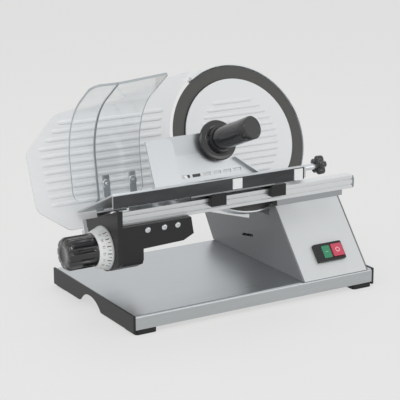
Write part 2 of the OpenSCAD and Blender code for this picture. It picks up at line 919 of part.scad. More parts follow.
module button(x, width, proud) {
  back = -button_travel - side_gap;
  face_frame() translate([switch_middle + x, 0, switch_height]) {
    plate_y(-bezel_depth - proud, back)
      round_area(-width / 2, width / 2, -button_height / 2, button_height / 2, button_corner);
    disc_y(stem_radius, back, stem_length);
  }
}
module start_button() { color("#2f8f4e") button(start_x, start_width, button_proud - start_sink); }
module stop_button() { color("#c2303a") button(stop_x, stop_width, button_proud); }

// drive

module at_motor() { blade_frame() translate([motor_offset, 0, -motor_drop]) children(); }
module motor() {
  y0 = motor_front + motor_plate;
  color("#6d7276") at_motor() difference() {
    union() {
      disc_y(motor_radius, y0, y0 + motor_length);
      disc_y(motor_boss_radius, motor_front, y0);
    }
    disc_y(motor_shaft_radius + run_gap, 0, y0 + motor_wall);
    disc_y(motor_radius - motor_shell, y0 + motor_wall, y0 + motor_length - motor_end_wall);
  }
}
module motor_bracket() {
  x1 = tower_right - tower_wall - blade_x - motor_offset;
  color("#8e9295") at_motor() difference() {
    union() {
      box(-bracket_left, x1, motor_front, motor_front + motor_plate, -bracket_low, bracket_high);
      box(x1 - motor_plate, x1, motor_front, motor_front + bracket_flange, -bracket_low, bracket_high);
    }
    disc_y(motor_boss_radius + run_gap, 0, far);
  }
}
module motor_rotor() {
  y0 = motor_front + motor_plate + motor_wall + rotor_side;
  color("#b5b8ba") at_motor() {
    disc_y(motor_shaft_radius, pulley_middle - pulley_half, y0);
    disc_y(motor_radius - motor_shell - rotor_gap, y0,
      motor_front + motor_plate + motor_length - motor_end_wall - rotor_side);
  }
}
module pulley(r, bore) {
  groove = belt_width / 2 + side_gap;
  difference() {
    union() {
      disc_y(r - run_gap, pulley_middle - groove, pulley_middle + groove);
      disc_y(r + pulley_lip, pulley_middle - pulley_half, pulley_middle - groove);
      disc_y(r + pulley_lip, pulley_middle + groove, pulley_middle + pulley_half);
    }
    disc_y(bore, 0, far);
  }
}
module motor_pulley() {
  color("#9ea2a5") at_motor() pulley(motor_pulley_radius, motor_shaft_radius + run_gap);
}
function arc_points(r, y, from, to) =
  [for (i = [0:belt_steps]) let (a = from + (to - from) * i / belt_steps) [r * cos(a), y + r * sin(a)]];
module belt_area(grow) {
  polygon(concat(arc_points(blade_pulley_radius + grow, 0, -belt_wrap, 180 + belt_wrap),
    arc_points(motor_pulley_radius + grow, -belt_length, 180 + belt_wrap, 360 - belt_wrap)));
}
module drive_belt() {
  color("#1b1b1b") blade_frame() plate_y(pulley_middle - belt_width / 2, pulley_middle + belt_width / 2)
    rotate([0, 0, belt_turn]) difference() {
      belt_area(belt_thickness);
      belt_area(0);
    }
}
module head_area(inset) {
  circle(r = head_radius - inset, $fn = round_fn);
  rotate([0, 0, belt_turn]) area(inset - head_half_width, head_half_width - inset, -head_leg, 0);
}
module roof_cut() {
  prism_x(0, far) polygon([[ledge_back - far, roof_front_height - far * roof_slope],
    [roof_step_depth + far, roof_step_top + far * roof_slope],
    [roof_step_depth + far, -far], [ledge_back - far, -far]]);
}
module head_casting() {
  color("#a9adb0") difference() {
    blade_frame() difference() {
      union() {
        difference() {
          plate_y(head_front, head_back) head_area(0);
          plate_y(head_front + head_wall, head_back - head_wall) head_area(head_wall);
        }
        disc_y(boss_radius, bearing_front, bearing_front + bearing_width);
        disc_y(boss_radius, bearing_rear, shaft_end);
      }
      disc_y(shaft_radius + shaft_room, 0, far);
      disc_y(bearing_radius + run_gap, 0, bearing_front + bearing_width);
      disc_y(bearing_radius + run_gap, bearing_rear, far);
    }
    base_frame() roof_cut();
  }
}
module shaft_bearings() {
  color("#c2c5c8") blade_frame() for (y = [bearing_front, bearing_rear]) difference() {
    disc_y(bearing_radius, y, y + bearing_width);
    disc_y(shaft_radius + run_gap, 0, far);
  }
}
module bearing_cap() {
  color("#8e9295") blade_frame() difference() {
    disc_y(boss_radius, shaft_end, cap_back);
    disc_y(shaft_radius + cap_room, 0, shaft_end + cap_room);
    disc_y(tie_radius + run_gap, 0, far);
  }
}
module blade_shaft() {
  color("#b5b8ba") blade_frame() difference() {
    disc_y(shaft_radius, 0, shaft_end);
    disc_y(tie_radius + side_gap, -cut, far);
  }
}
module blade_hub() {
  color("#9ea2a5") blade_frame() difference() {
    disc_y(hub_radius, blade_thickness, blade_thickness + hub_length);
    disc_y(shaft_radius + run_gap, 0, far);
  }
}
module blade_pulley() {
  color("#9ea2a5") blade_frame() pulley(blade_pulley_radius, shaft_radius + run_gap);
}
module blade() {
  color("#3c3d40") blade_frame() difference() {
    translate([0, blade_thickness, 0]) rotate([90, 0, 0])
      cylinder(r1 = blade_radius - blade_bevel, r2 = blade_radius, h = blade_thickness, $fn = round_fn);
    disc_y(shaft_radius + run_gap, -cut, far);
    for (i = [0:blade_holes - 1]) rotate([0, i * 360 / blade_holes, 0]) translate([blade_hole_circle, 0, 0])
      disc_y(blade_hole_radius, -cut, far);
  }
}
module ring_wedge() {
  m = (ring_open_start + ring_open_end) / 2;
  polygon([[0, 0], for (a = [ring_open_start, m, ring_open_end]) [far * cos(a), far * sin(a)]]);
}
module ring_guard() {
  color("#d9dbdc") blade_frame() {
    plate_y(-ring_lip, ring_depth - ring_lip) difference() {
      circle(r = ring_outer, $fn = round_fn);
      circle(r = ring_inner, $fn = round_fn);
      ring_wedge();
    }
    plate_y(spider_front, spider_front + spider_sheet) difference() {
      union() {
        difference() {
          circle(r = ring_outer, $fn = round_fn);
          circle(r = ring_inner - ring_flange, $fn = round_fn);
          ring_wedge();
        }
        circle(r = spider_radius, $fn = round_fn);
        for (a = spider_angles) rotate([0, 0, a]) area(0, ring_inner, -spider_arm / 2, spider_arm / 2);
      }
      circle(r = spider_hole, $fn = round_fn);
    }
    plate_y(spider_front + spider_sheet, head_front) difference() {
      circle(r = spider_seat, $fn = round_fn);
      circle(r = spider_hole, $fn = round_fn);
    }
    rotate([0, -bar_angle, 0]) translate([ring_inner, 0, 0])
      box(0, bar_width, -ring_lip - bar_depth, bar_depth, -bar_half_length, bar_half_length);
  }
}
module rib_row(x0, x1, z, face) { translate([0, face + rib_sink, z]) rod_x(rib_radius, x0, x1); }
module blade_cover() {
  color("#eceded") blade_frame() difference() {
    union() {
      disc_y(cover_radius, cover_front, -cover_gap);
      for (i = [0:cover_ribs - 1]) {
        z = cover_rib_top - i * cover_rib_pitch;
        w = sqrt(cover_rib_circle * cover_rib_circle - z * z);
        if (w > 0) rib_row(-w, w, z, cover_front);
      }
    }
    disc_y(tie_head_radius + tie_head_room, -far, cover_front + cover_recess);
    disc_y(tie_radius + run_gap, -far, far);
  }
}
module cover_tie_rod() {
  seat = cover_front + cover_recess;
  color("#c2c5c8") blade_frame() {
    disc_y(tie_head_radius, seat - tie_head_height, seat);
    disc_y(tie_radius, seat - cut, cap_back + lock_length - lock_end_wall);
  }
}
module cover_lock_knob() {
  y1 = cap_back + lock_length;
  color("#161616") blade_frame() difference() {
    union() {
      disc_y(lock_core_radius, cap_back + side_gap, y1);
      for (i = [0:lock_lobes - 1]) rotate([0, (i + 0.5) * 360 / lock_lobes, 0])
        translate([lock_lobe_circle, 0, 0])
          disc_y(lock_lobe_radius, cap_back + lock_lobe_front, y1 - lock_lobe_inset);
    }
    disc_y(tie_radius + run_gap, 0, y1 - lock_end_wall + side_gap);
  }
}
module slice_deflector() {
  t = deflector_sheet;
  a = deflector_slope;
  color("#c9ccce") blade_frame() translate([0, 0, deflector_low]) linear_extrude(deflector_height)
    polygon([[deflector_seat_x, head_back], [deflector_seat_x, head_back + t],
      [deflector_bend_x, head_back + t], [deflector_tip_x, deflector_tip_y],
      [deflector_tip_x + t * sin(a), deflector_tip_y - t * cos(a)],
      [deflector_bend_x + t * tan(a / 2), head_back]]);
}

// gauge plate and thickness control

module gauge_outline() {
  s = gauge_corner_shares;
  polygon(round_points([for (c = s) [c[0] * gauge_reach, c[1] * (c[1] > 0 ? gauge_rise : gauge_fall)]],
    [for (c = s) c[2] * gauge_corner]));
}
function rib_start(z) = -gauge_reach + (z > rib_slant_from
  ? rib_corner_inset + (z - rib_slant_from) * rib_slant_share : z < rib_low ? rib_corner_inset : rib_inset);
module gauge_plate() {
  color("#eceded") blade_frame() {
    plate_y(-gauge_face, gauge_thickness - gauge_face) difference() {
      gauge_outline();
      circle(r = gauge_arc, $fn = round_fn);
      area(housing_left - notch_left - blade_x, housing_right + notch_right - blade_x, -far, notch_top);
      area(housing_left - notch_reach - blade_x, housing_left - blade_x, -far, notch_step);
    }
    for (i = [0:gauge_ribs - 1]) {
      z = gauge_rib_top - i * gauge_rib_pitch;
      rib_row(rib_start(z), -sqrt(rib_circle * rib_circle - z * z), z, -gauge_face);
    }
  }
}
module gauge_carrier() {
  x0 = rod_xs[0] - leg_side;
  x1 = rod_xs[1] + leg_side;
  arm = cam_right + roller_side;
  back = gauge_thickness - gauge_face;
  color("#a9adb0") slope_frame() difference() {
    union() {
      box(x0, x1, back, leg_back, carrier_low, carrier_top);
      box(x0, x1, back, back + pad_depth, carrier_top - cut, pad_top);
      box(x0, x1, leg_front, leg_back, knob_s - leg_drop, carrier_top);
      box(arm, arm + roller_arm, roller_y - roller_arm_front, leg_front + cut,
        knob_s - roller_arm_half, knob_s + roller_arm_half);
    }
    for (x = rod_xs) translate([x, 0, rod_s]) disc_y(guide_radius + run_gap, leg_front - cut, far);
    translate([0, roller_y, knob_s]) rod_x(roller_pin_radius + run_gap, cam_left, arm + roller_arm + cut);
  }
}
module gauge_roller() {
  color("#c2c5c8") slope_frame() translate([0, roller_y, knob_s]) {
    rod_x(roller_radius, cam_left, cam_right);
    rod_x(roller_pin_radius, cam_right - cut, cam_right + roller_side + roller_arm);
  }
}
module gauge_guide_rods() {
  color("#d0d3d5") slope_frame() for (x = rod_xs) translate([x, 0, rod_s])
    disc_y(guide_radius, rod_wall_front + rod_seat, rod_end);
}
// the housing's side view: its low outline from the back to the chin, drawn in by an inset
function low_outline(t) = [
  [knob_y + tail_back - t, knob_z + tail_top - t], [knob_y + tail_back - t, knob_z + tail_low + t],
  [knob_y + heel_back - t / 2, knob_z + heel_rise + t], [knob_y, knob_z - belly_drop + t],
  [knob_y - toe_front + t / 2, knob_z - toe_drop + t], [knob_y - chin_front + t, knob_z - chin_drop + t]];
module collar(t) { translate([knob_y, knob_z]) circle(r = collar_radius - t, $fn = round_fn); }
module housing_body(t) {
  polygon(concat([[housing_front + t, rail_low - t], [knob_y + roof_bend, rail_low - t]], low_outline(t),
    [[housing_front + t, knob_z - throat_drop + t]]));
  collar(t);
}
module control_housing() {
  t = housing_skin;
  low = rod_wall_low;
  wall = [[-rod_wall_front, low], [-rod_wall_front, 0], [-rod_wall_back, 0], [-rod_wall_back, low]];
  boss_right = cam_right + shaft_boss_right;
  color("#1f2022") difference() {
    union() {
      base_frame() difference() {
        union() {
          prism_x(housing_left, housing_left + housing_plate) {
            polygon(concat([[rail_front - plate_step, rail_low + plate_rise]], low_outline(0),
              [[rail_front - plate_step, knob_z - throat_drop]]));
            collar(0);
          }
          prism_x(housing_left + housing_plate, housing_right) housing_body(0);
          plate_y(housing_front, housing_front + arm_depth) translate([housing_right, rail_low])
            polygon(concat([[-cut, 0], [-cut, -arm_drop]],
              [for (p = arm_shares) [p[0] * arm_length, -p[1] * arm_drop]]));
        }
        prism_x(housing_left + t, housing_right - t) difference() {
          housing_body(t);
          polygon([for (p = wall) [row_y(p[0], p[1]), row_z(p[0], p[1])]]);
        }
        box(housing_right + t, far, housing_front + t, far, -far, rail_low - t);
      }
      base_frame() {
        translate([0, knob_y, knob_z]) {
          rod_x(shaft_boss_radius, housing_left + t - cut, cam_left - shaft_boss_gap);
          rod_x(shaft_boss_radius, boss_right, housing_right - t + cut);
        }
        at_arm_screws() disc_y(arm_boss_radius, housing_front + t - cut, housing_front + arm_boss_length);
      }
    }
    base_frame() {
      translate([0, knob_y, knob_z]) {
        rod_x(knob_shaft_radius + run_gap, 0, housing_right - t);
        rod_x(dial_radius + side_gap, housing_left - cut, housing_left + dial_seat_depth);
      }
      at_arm_screws() disc_y(arm_screw_radius + run_gap, 0, housing_front + arm_screw_length + side_gap);
    }
    slope_frame() {
      for (x = rod_xs) translate([x, 0, rod_s])
        disc_y(guide_radius + run_gap, rod_wall_front + rod_seat, far);
      box(cam_left - shaft_boss_gap, boss_right, rod_wall_back, far,
        knob_s - roller_radius - roller_room, knob_s + roller_radius + roller_room);
    }
  }
}
module at_arm_screws() {
  for (f = arm_screw_shares) translate([housing_right + f * arm_length, 0, rail_low - arm_screw_drop])
    children();
}
module housing_screws() {
  color("#d0d2d4") base_frame() at_arm_screws() {
    disc_y(arm_screw_head, housing_front - arm_screw_head_height, housing_front);
    disc_y(arm_screw_radius, housing_front - cut, housing_front + arm_screw_length);
  }
}
knob_start = housing_left + dial_proud - dial_length;
module knob_shaft() {
  color("#b5b8ba") base_frame() translate([0, knob_y, knob_z])
    rod_x(knob_shaft_radius, knob_start - shaft_reach, housing_right - housing_skin - shaft_side);
}
function cam_r(a) = cam_low + gauge_travel * max(0, a) / knob_turn;
module spiral_cam() {
  color("#d0d2c8") slope_frame() translate([0, -knob_o, knob_s]) difference() {
    prism_x(cam_left, cam_right) polygon([for (i = [0:cam_steps])
      let (a = i * (knob_turn + 2 * cam_overrun) / cam_steps - cam_overrun) cam_r(a) * [cos(a), sin(a)]]);
    rod_x(knob_shaft_radius + run_gap, 0, far);
  }
}
module scale_dial() {
  x1 = housing_left + dial_proud;
  color("#f2f2f0") base_frame() translate([0, knob_y, knob_z]) difference() {
    union() {
      translate([knob_start, 0, 0]) rotate([0, 90, 0])
        cylinder(r1 = dial_small_radius, r2 = dial_radius, h = dial_length - dial_rim, $fn = round_fn);
      rod_x(dial_radius, x1 - dial_rim, x1);
    }
    rod_x(knob_shaft_radius + run_gap, -far, far);
  }
}
module thickness_knob() {
  x0 = knob_start - knob_length;
  color("#141414") base_frame() translate([0, knob_y, knob_z]) difference() {
    union() {
      rod_x(knob_radius, x0 + knob_bevel, knob_start);
      translate([x0, 0, 0]) rotate([0, 90, 0])
        cylinder(r1 = knob_radius - knob_bevel, r2 = knob_radius, h = knob_bevel, $fn = round_fn);
    }
    for (i = [0:knob_flutes - 1]) rotate([i * 360 / knob_flutes, 0, 0])
      translate([0, 0, knob_radius + flute_radius - flute_depth])
        rod_x(flute_radius, x0 - cut, knob_start - flute_stop);
    rod_x(knob_shaft_radius + run_gap, knob_start - shaft_reach - shaft_side, far);
  }
}

// rail

rail_top = rail_low + rail_height;
module rail() {
  y0 = rail_front;
  g = rail_groove;
  color("#cfd2d4") base_frame() prism_x(housing_left + housing_plate, rail_right) difference() {
    area(y0, y0 + rail_depth, rail_low, rail_top);
    for (z = [groove_low, groove_high]) area(y0 - cut, y0 + g, rail_low + z, rail_low + z + groove_width);
    area(y0 + rail_wall, y0 + rail_depth - rail_wall, rail_low + rail_wall, rail_top - rail_wall);
    polygon([[y0 - g, rail_top + g], [y0 - g, rail_top - g], [y0 + g, rail_top + g]]);
  }
}
module rail_foot() {
  color("#b9bcbe") base_frame()
    box(tower_left + foot_inset, tower_right + foot_overhang, tower_lean, ledge_back, tower_top, rail_low);
}
module rail_end_cap() {
  color("#8e9295") base_frame() plate_y(rail_front, rail_front + rail_depth)
    polygon([[rail_right, rail_low], [rail_right, rail_top],
      [rail_right + cap_shoulder, rail_top - cap_shoulder_drop],
      [rail_right + cap_nose, rail_top - cap_nose_drop],
      [rail_right + cap_heel, rail_low + cap_heel_rise]]);
}
module rail_stop() {
  x0 = housing_left + stop_from_left;
  x1 = x0 + stop_length;
  y0 = rail_front + stop_front;
  y1 = rail_front + stop_back;
  color("#d0d3d5") base_frame() {
    box(x0, x1, y0, y1, rail_top, rail_top + stop_sheet);
    box(x1 - stop_lip, x1, y0, y1, rail_top, rail_top + stop_height);
  }
}

// carriage

module food_table() {
  slot_back = pusher_reach - pusher_travel - slider_back - slot_room;
  color("#dfe1e2") difference() {
    base_frame() prism_x(table_left, table_right) translate([bend_y, bend_z])
      bent_sheet(skirt_bend - table_sheet, skirt_bend, 90 - blade_tilt, 180, table_run, skirt_run);
    slope_frame() {
      for (x = slot_xs)
        box(x, x + slot_width, -pusher_reach - slot_spare, -slot_back, table_low_s - cut, table_s + cut);
      at_post() translate([0, 0, table_low_s - cut])
        cylinder(r = post_radius + run_gap, h = table_sheet + 2 * cut, $fn = round_fn);
    }
  }
}
module carriage_beam() {
  y0 = shoe_front_y + beam_inset;
  color("#a9adb0") base_frame() prism_x(shoe_one - beam_before, table_right - beam_right_inset)
    polygon([[y0, shoe_top_z], [shoe_flat_y, shoe_top_z], [shoe_flat_y, plane_z(shoe_flat_y, table_low_s)],
      [y0, plane_z(y0, table_low_s)]]);
}
module slide_shoes() {
  y0 = rail_front - side_gap;
  y1 = rail_front + rail_depth + side_gap;
  z1 = rail_top + side_gap;
  back = rail_front + rail_depth + shoe_back;
  color("#171819") base_frame() for (x = [shoe_one, shoe_two])
    prism_x(x - shoe_length / 2, x + shoe_length / 2)
      polygon([[shoe_front_y, shoe_low], [y0, shoe_low], [y0, z1], [y1, z1], [y1, shoe_low],
        [back, shoe_low], [back, rail_top + shoe_back_top],
        [shoe_flat_y, shoe_top_z], [shoe_front_y, shoe_top_z]]);
}
module skirt_clamps() {
  x0 = shoe_one - clamp_before;
  x1 = table_right - clamp_end_inset;
  low = skirt_z - skirt_height;
  color("#f0f1f1") base_frame() {
    box(x0, x0 + clamp_width, skirt_y - clamp_sheet, skirt_y, low + clamp_rise, bend_z);
    box(x1 - clamp_end_width, x1, skirt_y - clamp_sheet, skirt_y, low, bend_z);
  }
}
module wall_panel() {
  front = wall_inset - table_reach;
  x1 = wall_right - wall_corner;
  color("#d4d6d8") slope_frame() {
    plate_y(front, front + wall_sheet) {
      area(wall_left, x1, table_s, wall_top);
      area(wall_left, wall_right, table_s, wall_top - wall_corner);
      translate([x1, wall_top - wall_corner]) circle(r = wall_corner, $fn = round_fn);
    }
    box(wall_left, wall_right - wall_sheet, front, front + wall_foot, table_s, table_s + wall_sheet);
  }
}
module guard_shape(roof) {
  translate([-bend_mid_o, bend_mid_s])
    bent_sheet(guard_bend - guard_half, guard_bend + guard_half, guard_lean, 90 - guard_roof,
      guard_straight, roof);
}
module guard_left_panel() {
  x1 = guard_split - stay_half;
  low = guard_foot_s + guard_corner;
  color("#cfd6da") slope_frame() intersection() {
    prism_x(guard_left_edge, x1) guard_shape(guard_roof_left);
    plate_y(-far, far) {
      area(guard_left_edge + guard_corner, x1, -far, far);
      area(guard_left_edge - cut, x1, low, far);
      translate([guard_left_edge + guard_corner, low]) circle(r = guard_corner, $fn = round_fn);
    }
  }
}
module guard_right_panel() {
  run = guard_right_edge - guard_split;
  color("#cfd6da") slope_frame() difference() {
    prism_x(guard_split + stay_half, guard_right_edge) guard_shape(guard_roof_right);
    translate([0, -roof_o, roof_s]) rotate([guard_roof, 0, 0]) translate([guard_split, -guard_roof_left, 0])
      rotate([0, 0, -atan((guard_roof_right - guard_roof_left) / run)]) box(-far, far, -far, 0, -far, far);
    translate([guard_right_edge - guard_cut_inset, -far, guard_foot_s - guard_cut_inset])
      rotate([0, 45, 0]) box(0, guard_cut, 0, 2 * far, -guard_cut, 0);
  }
}
module at_post() { translate([guard_split, post_shift - guard_foot, 0]) children(); }
module guard_stay() {
  low = table_low_s - stay_button_depth;
  collar_top = guard_foot_s - post_collar_gap;
  color("#7d8387") slope_frame() {
    prism_x(guard_split - stay_half, guard_split + stay_half) guard_shape(guard_roof_left);
    at_post() {
      translate([0, 0, low]) cylinder(r = post_radius, h = collar_top - low, $fn = round_fn);
      translate([0, 0, low]) cylinder(r = stay_button_radius, h = stay_button_depth, $fn = round_fn);
      translate([0, 0, table_s]) cylinder(r = post_collar, h = collar_top - table_s, $fn = round_fn);
      box(-stay_half, stay_half, -post_radius, post_radius, collar_top - cut, guard_foot_s + stay_lap);
    }
  }
}
module guard_brackets() {
  y0 = -guard_foot - guard_half / gl_c - (table_s - guard_foot_s) * gl_s / gl_c;
  y1 = y0 - clip_height * gl_s / gl_c;
  t = clip_sheet;
  color("#c2c5c8") slope_frame() for (x = clip_xs) prism_x(x, x + clip_width)
    polygon([[y0, table_s], [y1, table_s + clip_height], [y1 - t, table_s + clip_height],
      [y0 - t - t * gl_s / gl_c, table_s + t], [y0 - clip_foot, table_s + t], [y0 - clip_foot, table_s]]);
}
module at_star() {
  base_frame() translate([table_right, skirt_y + star_behind, skirt_z - star_drop]) children();
}
module star_knob_bracket() {
  y1 = skirt_y + star_plate_depth;
  low = skirt_z - skirt_height + star_plate_rise;
  color("#d0d3d5") {
    base_frame() prism_x(table_right, table_right + star_plate)
      polygon([[skirt_y, low], [y1, low], [y1, plane_z(y1, table_s)],
        [bend_y, plane_z(bend_y, table_s)], [skirt_y, bend_z]]);
    at_star() rod_x(star_rod_radius, star_plate - cut, star_rod_length);
  }
}
module star_knob() {
  x1 = star_start + star_length;
  color("#161616") at_star() difference() {
    union() {
      rod_x(star_core_radius, star_start, x1);
      for (i = [0:star_lobes - 1]) rotate([i * 360 / star_lobes, 0, 0]) translate([0, 0, star_core_radius])
        rod_x(star_lobe_radius, star_start + star_lobe_inset, x1 - star_lobe_inset);
    }
    rod_x(star_rod_radius + run_gap, 0, star_rod_length + side_gap);
  }
}

// pusher

module at_handle() {
  slope_frame() translate([handle_x, -pusher_reach - pusher_sheet, handle_s]) children();
}
module pusher_plate() {
  top = table_s + pusher_height;
  low = table_s + side_gap;
  foot = table_low_s - side_gap;
  p = -pusher_reach;
  y0 = p - slider_front;
  y1 = p + slider_back;
  slant_x = pusher_right - pusher_slant;
  slant_z = table_s + pusher_slant_height;
  color("#b9bcbf") difference() {
    slope_frame() difference() {
      union() {
        plate_y(p - pusher_sheet, p) polygon([[pusher_left + pusher_chamfer, top],
          [pusher_left, top - pusher_chamfer], [pusher_left, low], [pusher_right, low],
          [slant_x, slant_z], [pusher_right - pusher_top_inset, top]]);
        plate_y(p - pusher_flange, p - pusher_sheet + cut) polygon([[pusher_right, low], [slant_x, slant_z],
          [slant_x - pusher_flange_run, slant_z], [pusher_right - pusher_flange_run, low]]);
        for (x = slot_xs) {
          box(x + side_gap, x + slot_width - side_gap, y0, y1, foot - slider_foot, low + slider_lap);
          box(x - slider_side, x + slot_width + slider_side, y0, y1, foot - slider_foot, foot);
        }
      }
      for (i = [0:teeth_count - 1])
        translate([pusher_left + teeth_start + i * teeth_pitch, 0, table_s + teeth_low])
          box(0, teeth_width, -far, far, 0, teeth_height);
    }
    at_handle() disc_y(stub_radius + run_gap, -cut, far);
  }
}
module pusher_disc() {
  y0 = -disc_boss_length - disc_thickness;
  r0 = handle_radius + cone_big;
  r1 = handle_radius + cone_small;
  color("#121212") at_handle() {
    disc_y(disc_boss_radius, -disc_boss_length, 0);
    disc_y(disc_radius, y0, -disc_boss_length);
    disc_y(stub_radius, -cut, stub_length);
    translate([0, y0, 0]) rotate([90, 0, 0]) cylinder(r1 = r0, r2 = r1, h = cone_length, $fn = round_fn);
  }
}
module pusher_handle() {
  y0 = -disc_boss_length - disc_thickness - cone_length;
  end = -handle_inside - handle_length;
  color("#101010") at_handle() difference() {
    translate([0, y0 + handle_inside, 0]) rotate([0, 0, handle_turn]) {
      disc_y(handle_radius, end, 0);
      translate([0, end, 0]) rotate([90, 0, 0])
        cylinder(r1 = handle_radius, r2 = handle_radius - handle_bevel, h = handle_bevel, $fn = round_fn);
    }
    box(-far, far, y0, far, -far, far);
  }
}

base_tray();
left_panel();
right_panel();
rubber_feet();
foot_screws();
bottom_cover();
tower_shell();
tower_left_plate();
tower_right_plate();
cord_gland();
control_box();
switch_bezel();
switch_body();
start_button();
stop_button();
motor();
motor_bracket();
motor_rotor();
motor_pulley();
drive_belt();
head_casting();
shaft_bearings();
bearing_cap();
blade_shaft();
blade_hub();
blade_pulley();
blade();
ring_guard();
blade_cover();
cover_tie_rod();
cover_lock_knob();
slice_deflector();
gauge_plate();
gauge_carrier();
gauge_roller();
gauge_guide_rods();
control_housing();
housing_screws();
knob_shaft();
spiral_cam();
scale_dial();
thickness_knob();
rail();
rail_foot();
rail_end_cap();
rail_stop();
food_table();
carriage_beam();
slide_shoes();
skirt_clamps();
wall_panel();
guard_left_panel();
guard_right_panel();
guard_stay();
guard_brackets();
star_knob_bracket();
star_knob();
pusher_plate();
pusher_disc();
pusher_handle();
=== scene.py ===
"""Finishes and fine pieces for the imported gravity-feed slicer, and a pale studio stage."""

import json
import math

import bmesh
import bpy
from mathutils import Matrix, Vector

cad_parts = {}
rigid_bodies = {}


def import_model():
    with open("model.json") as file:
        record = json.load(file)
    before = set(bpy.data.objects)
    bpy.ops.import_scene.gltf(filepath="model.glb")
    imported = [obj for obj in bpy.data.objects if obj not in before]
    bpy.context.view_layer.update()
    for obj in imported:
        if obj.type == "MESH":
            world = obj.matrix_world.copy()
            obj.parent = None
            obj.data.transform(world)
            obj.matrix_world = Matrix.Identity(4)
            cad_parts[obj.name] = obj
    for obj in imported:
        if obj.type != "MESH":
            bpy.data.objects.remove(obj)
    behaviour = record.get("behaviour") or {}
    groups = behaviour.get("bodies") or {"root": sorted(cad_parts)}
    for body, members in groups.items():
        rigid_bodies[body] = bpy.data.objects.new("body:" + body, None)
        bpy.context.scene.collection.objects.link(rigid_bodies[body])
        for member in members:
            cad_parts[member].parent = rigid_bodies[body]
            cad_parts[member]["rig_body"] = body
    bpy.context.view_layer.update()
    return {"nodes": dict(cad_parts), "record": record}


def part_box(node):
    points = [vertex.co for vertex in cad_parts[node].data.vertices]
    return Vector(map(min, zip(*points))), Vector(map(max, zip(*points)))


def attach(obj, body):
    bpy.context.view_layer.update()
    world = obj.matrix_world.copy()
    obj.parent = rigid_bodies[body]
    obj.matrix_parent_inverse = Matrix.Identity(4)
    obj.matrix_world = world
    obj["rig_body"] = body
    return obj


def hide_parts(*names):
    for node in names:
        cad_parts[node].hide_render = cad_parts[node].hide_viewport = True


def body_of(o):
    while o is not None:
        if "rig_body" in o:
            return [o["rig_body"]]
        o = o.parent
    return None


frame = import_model()

bl_info = {
    "name": "Gravity-feed slicer",
    "version": (1, 0, 0),
    "blender": (4, 5, 0),
    "location": "View3D > Sidebar > Slicer",
    "description": "Finishes and fine pieces for the packed slicer, and a pale studio stage",
    "category": "Object",
}

MM = 0.001
TILT = math.radians(24.5)

# Every length below is in millimetres unless its name or comment says otherwise. Places are given in the
# blade's own frame, as across, out and up: out is negative in front of the blade, and up runs up the slope.

# points closer than this count as one when a CAD mesh is taken over
WELD = 0.002

# faces of the gauge plate and of the blade cover, out from the blade's face
FACE_OUT, COVER_OUT = -3.0, -4.0

# gauge plate ribs: place of the highest, pitch and count
PLATE_RIB_TOP, PLATE_RIB_PITCH, PLATE_RIBS = 63.0, 12.8, 11
# the plate's left edge, the ribs' distance from it, and their distance beside its cut corners
PLATE_LEFT, RIB_INSET, RIB_CORNER_INSET = -389.0, 24.0, 27.0
# where the upper and lower corners begin, and how fast the upper one runs across
UPPER_CORNER, LOWER_CORNER, CORNER_RUN = 27.0, -60.0, 1.08
# circle round the blade on which the plate's ribs end
PLATE_RIB_CIRCLE = 148.0
# blade cover ribs: place of the highest, pitch, count, the circle that they fill, and how much slimmer
# they are
COVER_RIB_TOP, COVER_RIB_PITCH, COVER_RIBS, COVER_RIB_CIRCLE, COVER_RIB_SLIMMER = 62.5, 11.0, 12, 73.0, 0.5
# length over which a rib's end runs out, and how far it laps over the end of the plain rib below it
RIB_TAPER, RIB_LAP = 7.0, 1.0
# section of the dark seal round the cover: height in front of the blade, and radius
SEAL = [(0.9, 101.6), (0.9, 103.2), (1.5, 103.4), (1.9, 103.0), (1.9, 101.6)]

# hand guard: foot, lower edge, straight part and radius of the bend
GUARD_FOOT, GUARD_LOW, GUARD_STRAIGHT, GUARD_BEND = 32.0, -71.0, 62.0, 110.0
# its lean at the foot and at the end of the bend, from upright
GUARD_LEAN, GUARD_TOP = math.radians(15.3), math.radians(78)
GUARD_ARC = GUARD_BEND * (GUARD_TOP - GUARD_LEAN)
# its left end, the two sides of its split and its right end, from the tray's left end
GUARD_LEFT, SPLIT_LEFT, SPLIT_RIGHT, GUARD_RIGHT = -48.0, -6.3, -3.7, 74.0
# straight roof after the bend, and the same at the right tip
GUARD_ROOF, GUARD_ROOF_TIP = 48.0, 64.0
# radius of the left corners, of the lower right corner and of the tip
LEFT_CORNER, RIGHT_CORNER, TIP_CORNER = 16, 15, 3
# half the sheet's thickness, and the spacing and count of the cuts that let it bend
GUARD_HALF, BEND_STEP, BEND_CUTS = 2.0, 4.2, 60
# the two knurled nuts: places along the rail and height up the sheet
NUT_PLACES, NUT_UP = (8.5, 55), 24

# where the seen fence begins, from the tray's left end
FENCE_START = 40.0

# height of the pusher plate's fold, and how far its upper half leans back
CREASE, CREASE_LEAN = -34.0, math.radians(4)
# middle of the pusher's disc, and the grip's turn to the right and its start in front of the disc
DISC_SPOT, GRIP_TURN, GRIP_START = (172, -120, -20), math.radians(16), 14

# thickness control, from the tray's left end: outer end of the knob, its inner end, and the dial's end
KNOB_END, KNOB_START, DIAL_END = -61.0, -11.0, 11.0
# the dial's small radius, large radius and bore
DIAL_SMALL, DIAL_LARGE, DIAL_BORE = 28.5, 36.0, 6.05
# width at the dial's large end that keeps its full radius
DIAL_RIM = 3.0
DIAL_STEPS = 144
# how far the print stands out of the dial
PRINT_PROUD = 0.12
# the first mark's angle and the angle between marks, a number on every second one
FIRST_MARK, MARK_STEP, MARKS = 150, 10, 31
# where long and short ticks begin, where both end, and the place of the numbers
LONG_TICK, SHORT_TICK, TICK_END, DIGIT_PLACE = 0.2, 2.6, 6.4, -4.2
# half the width of a long and of a short tick
LONG_HALF, SHORT_HALF = 0.7, 0.45

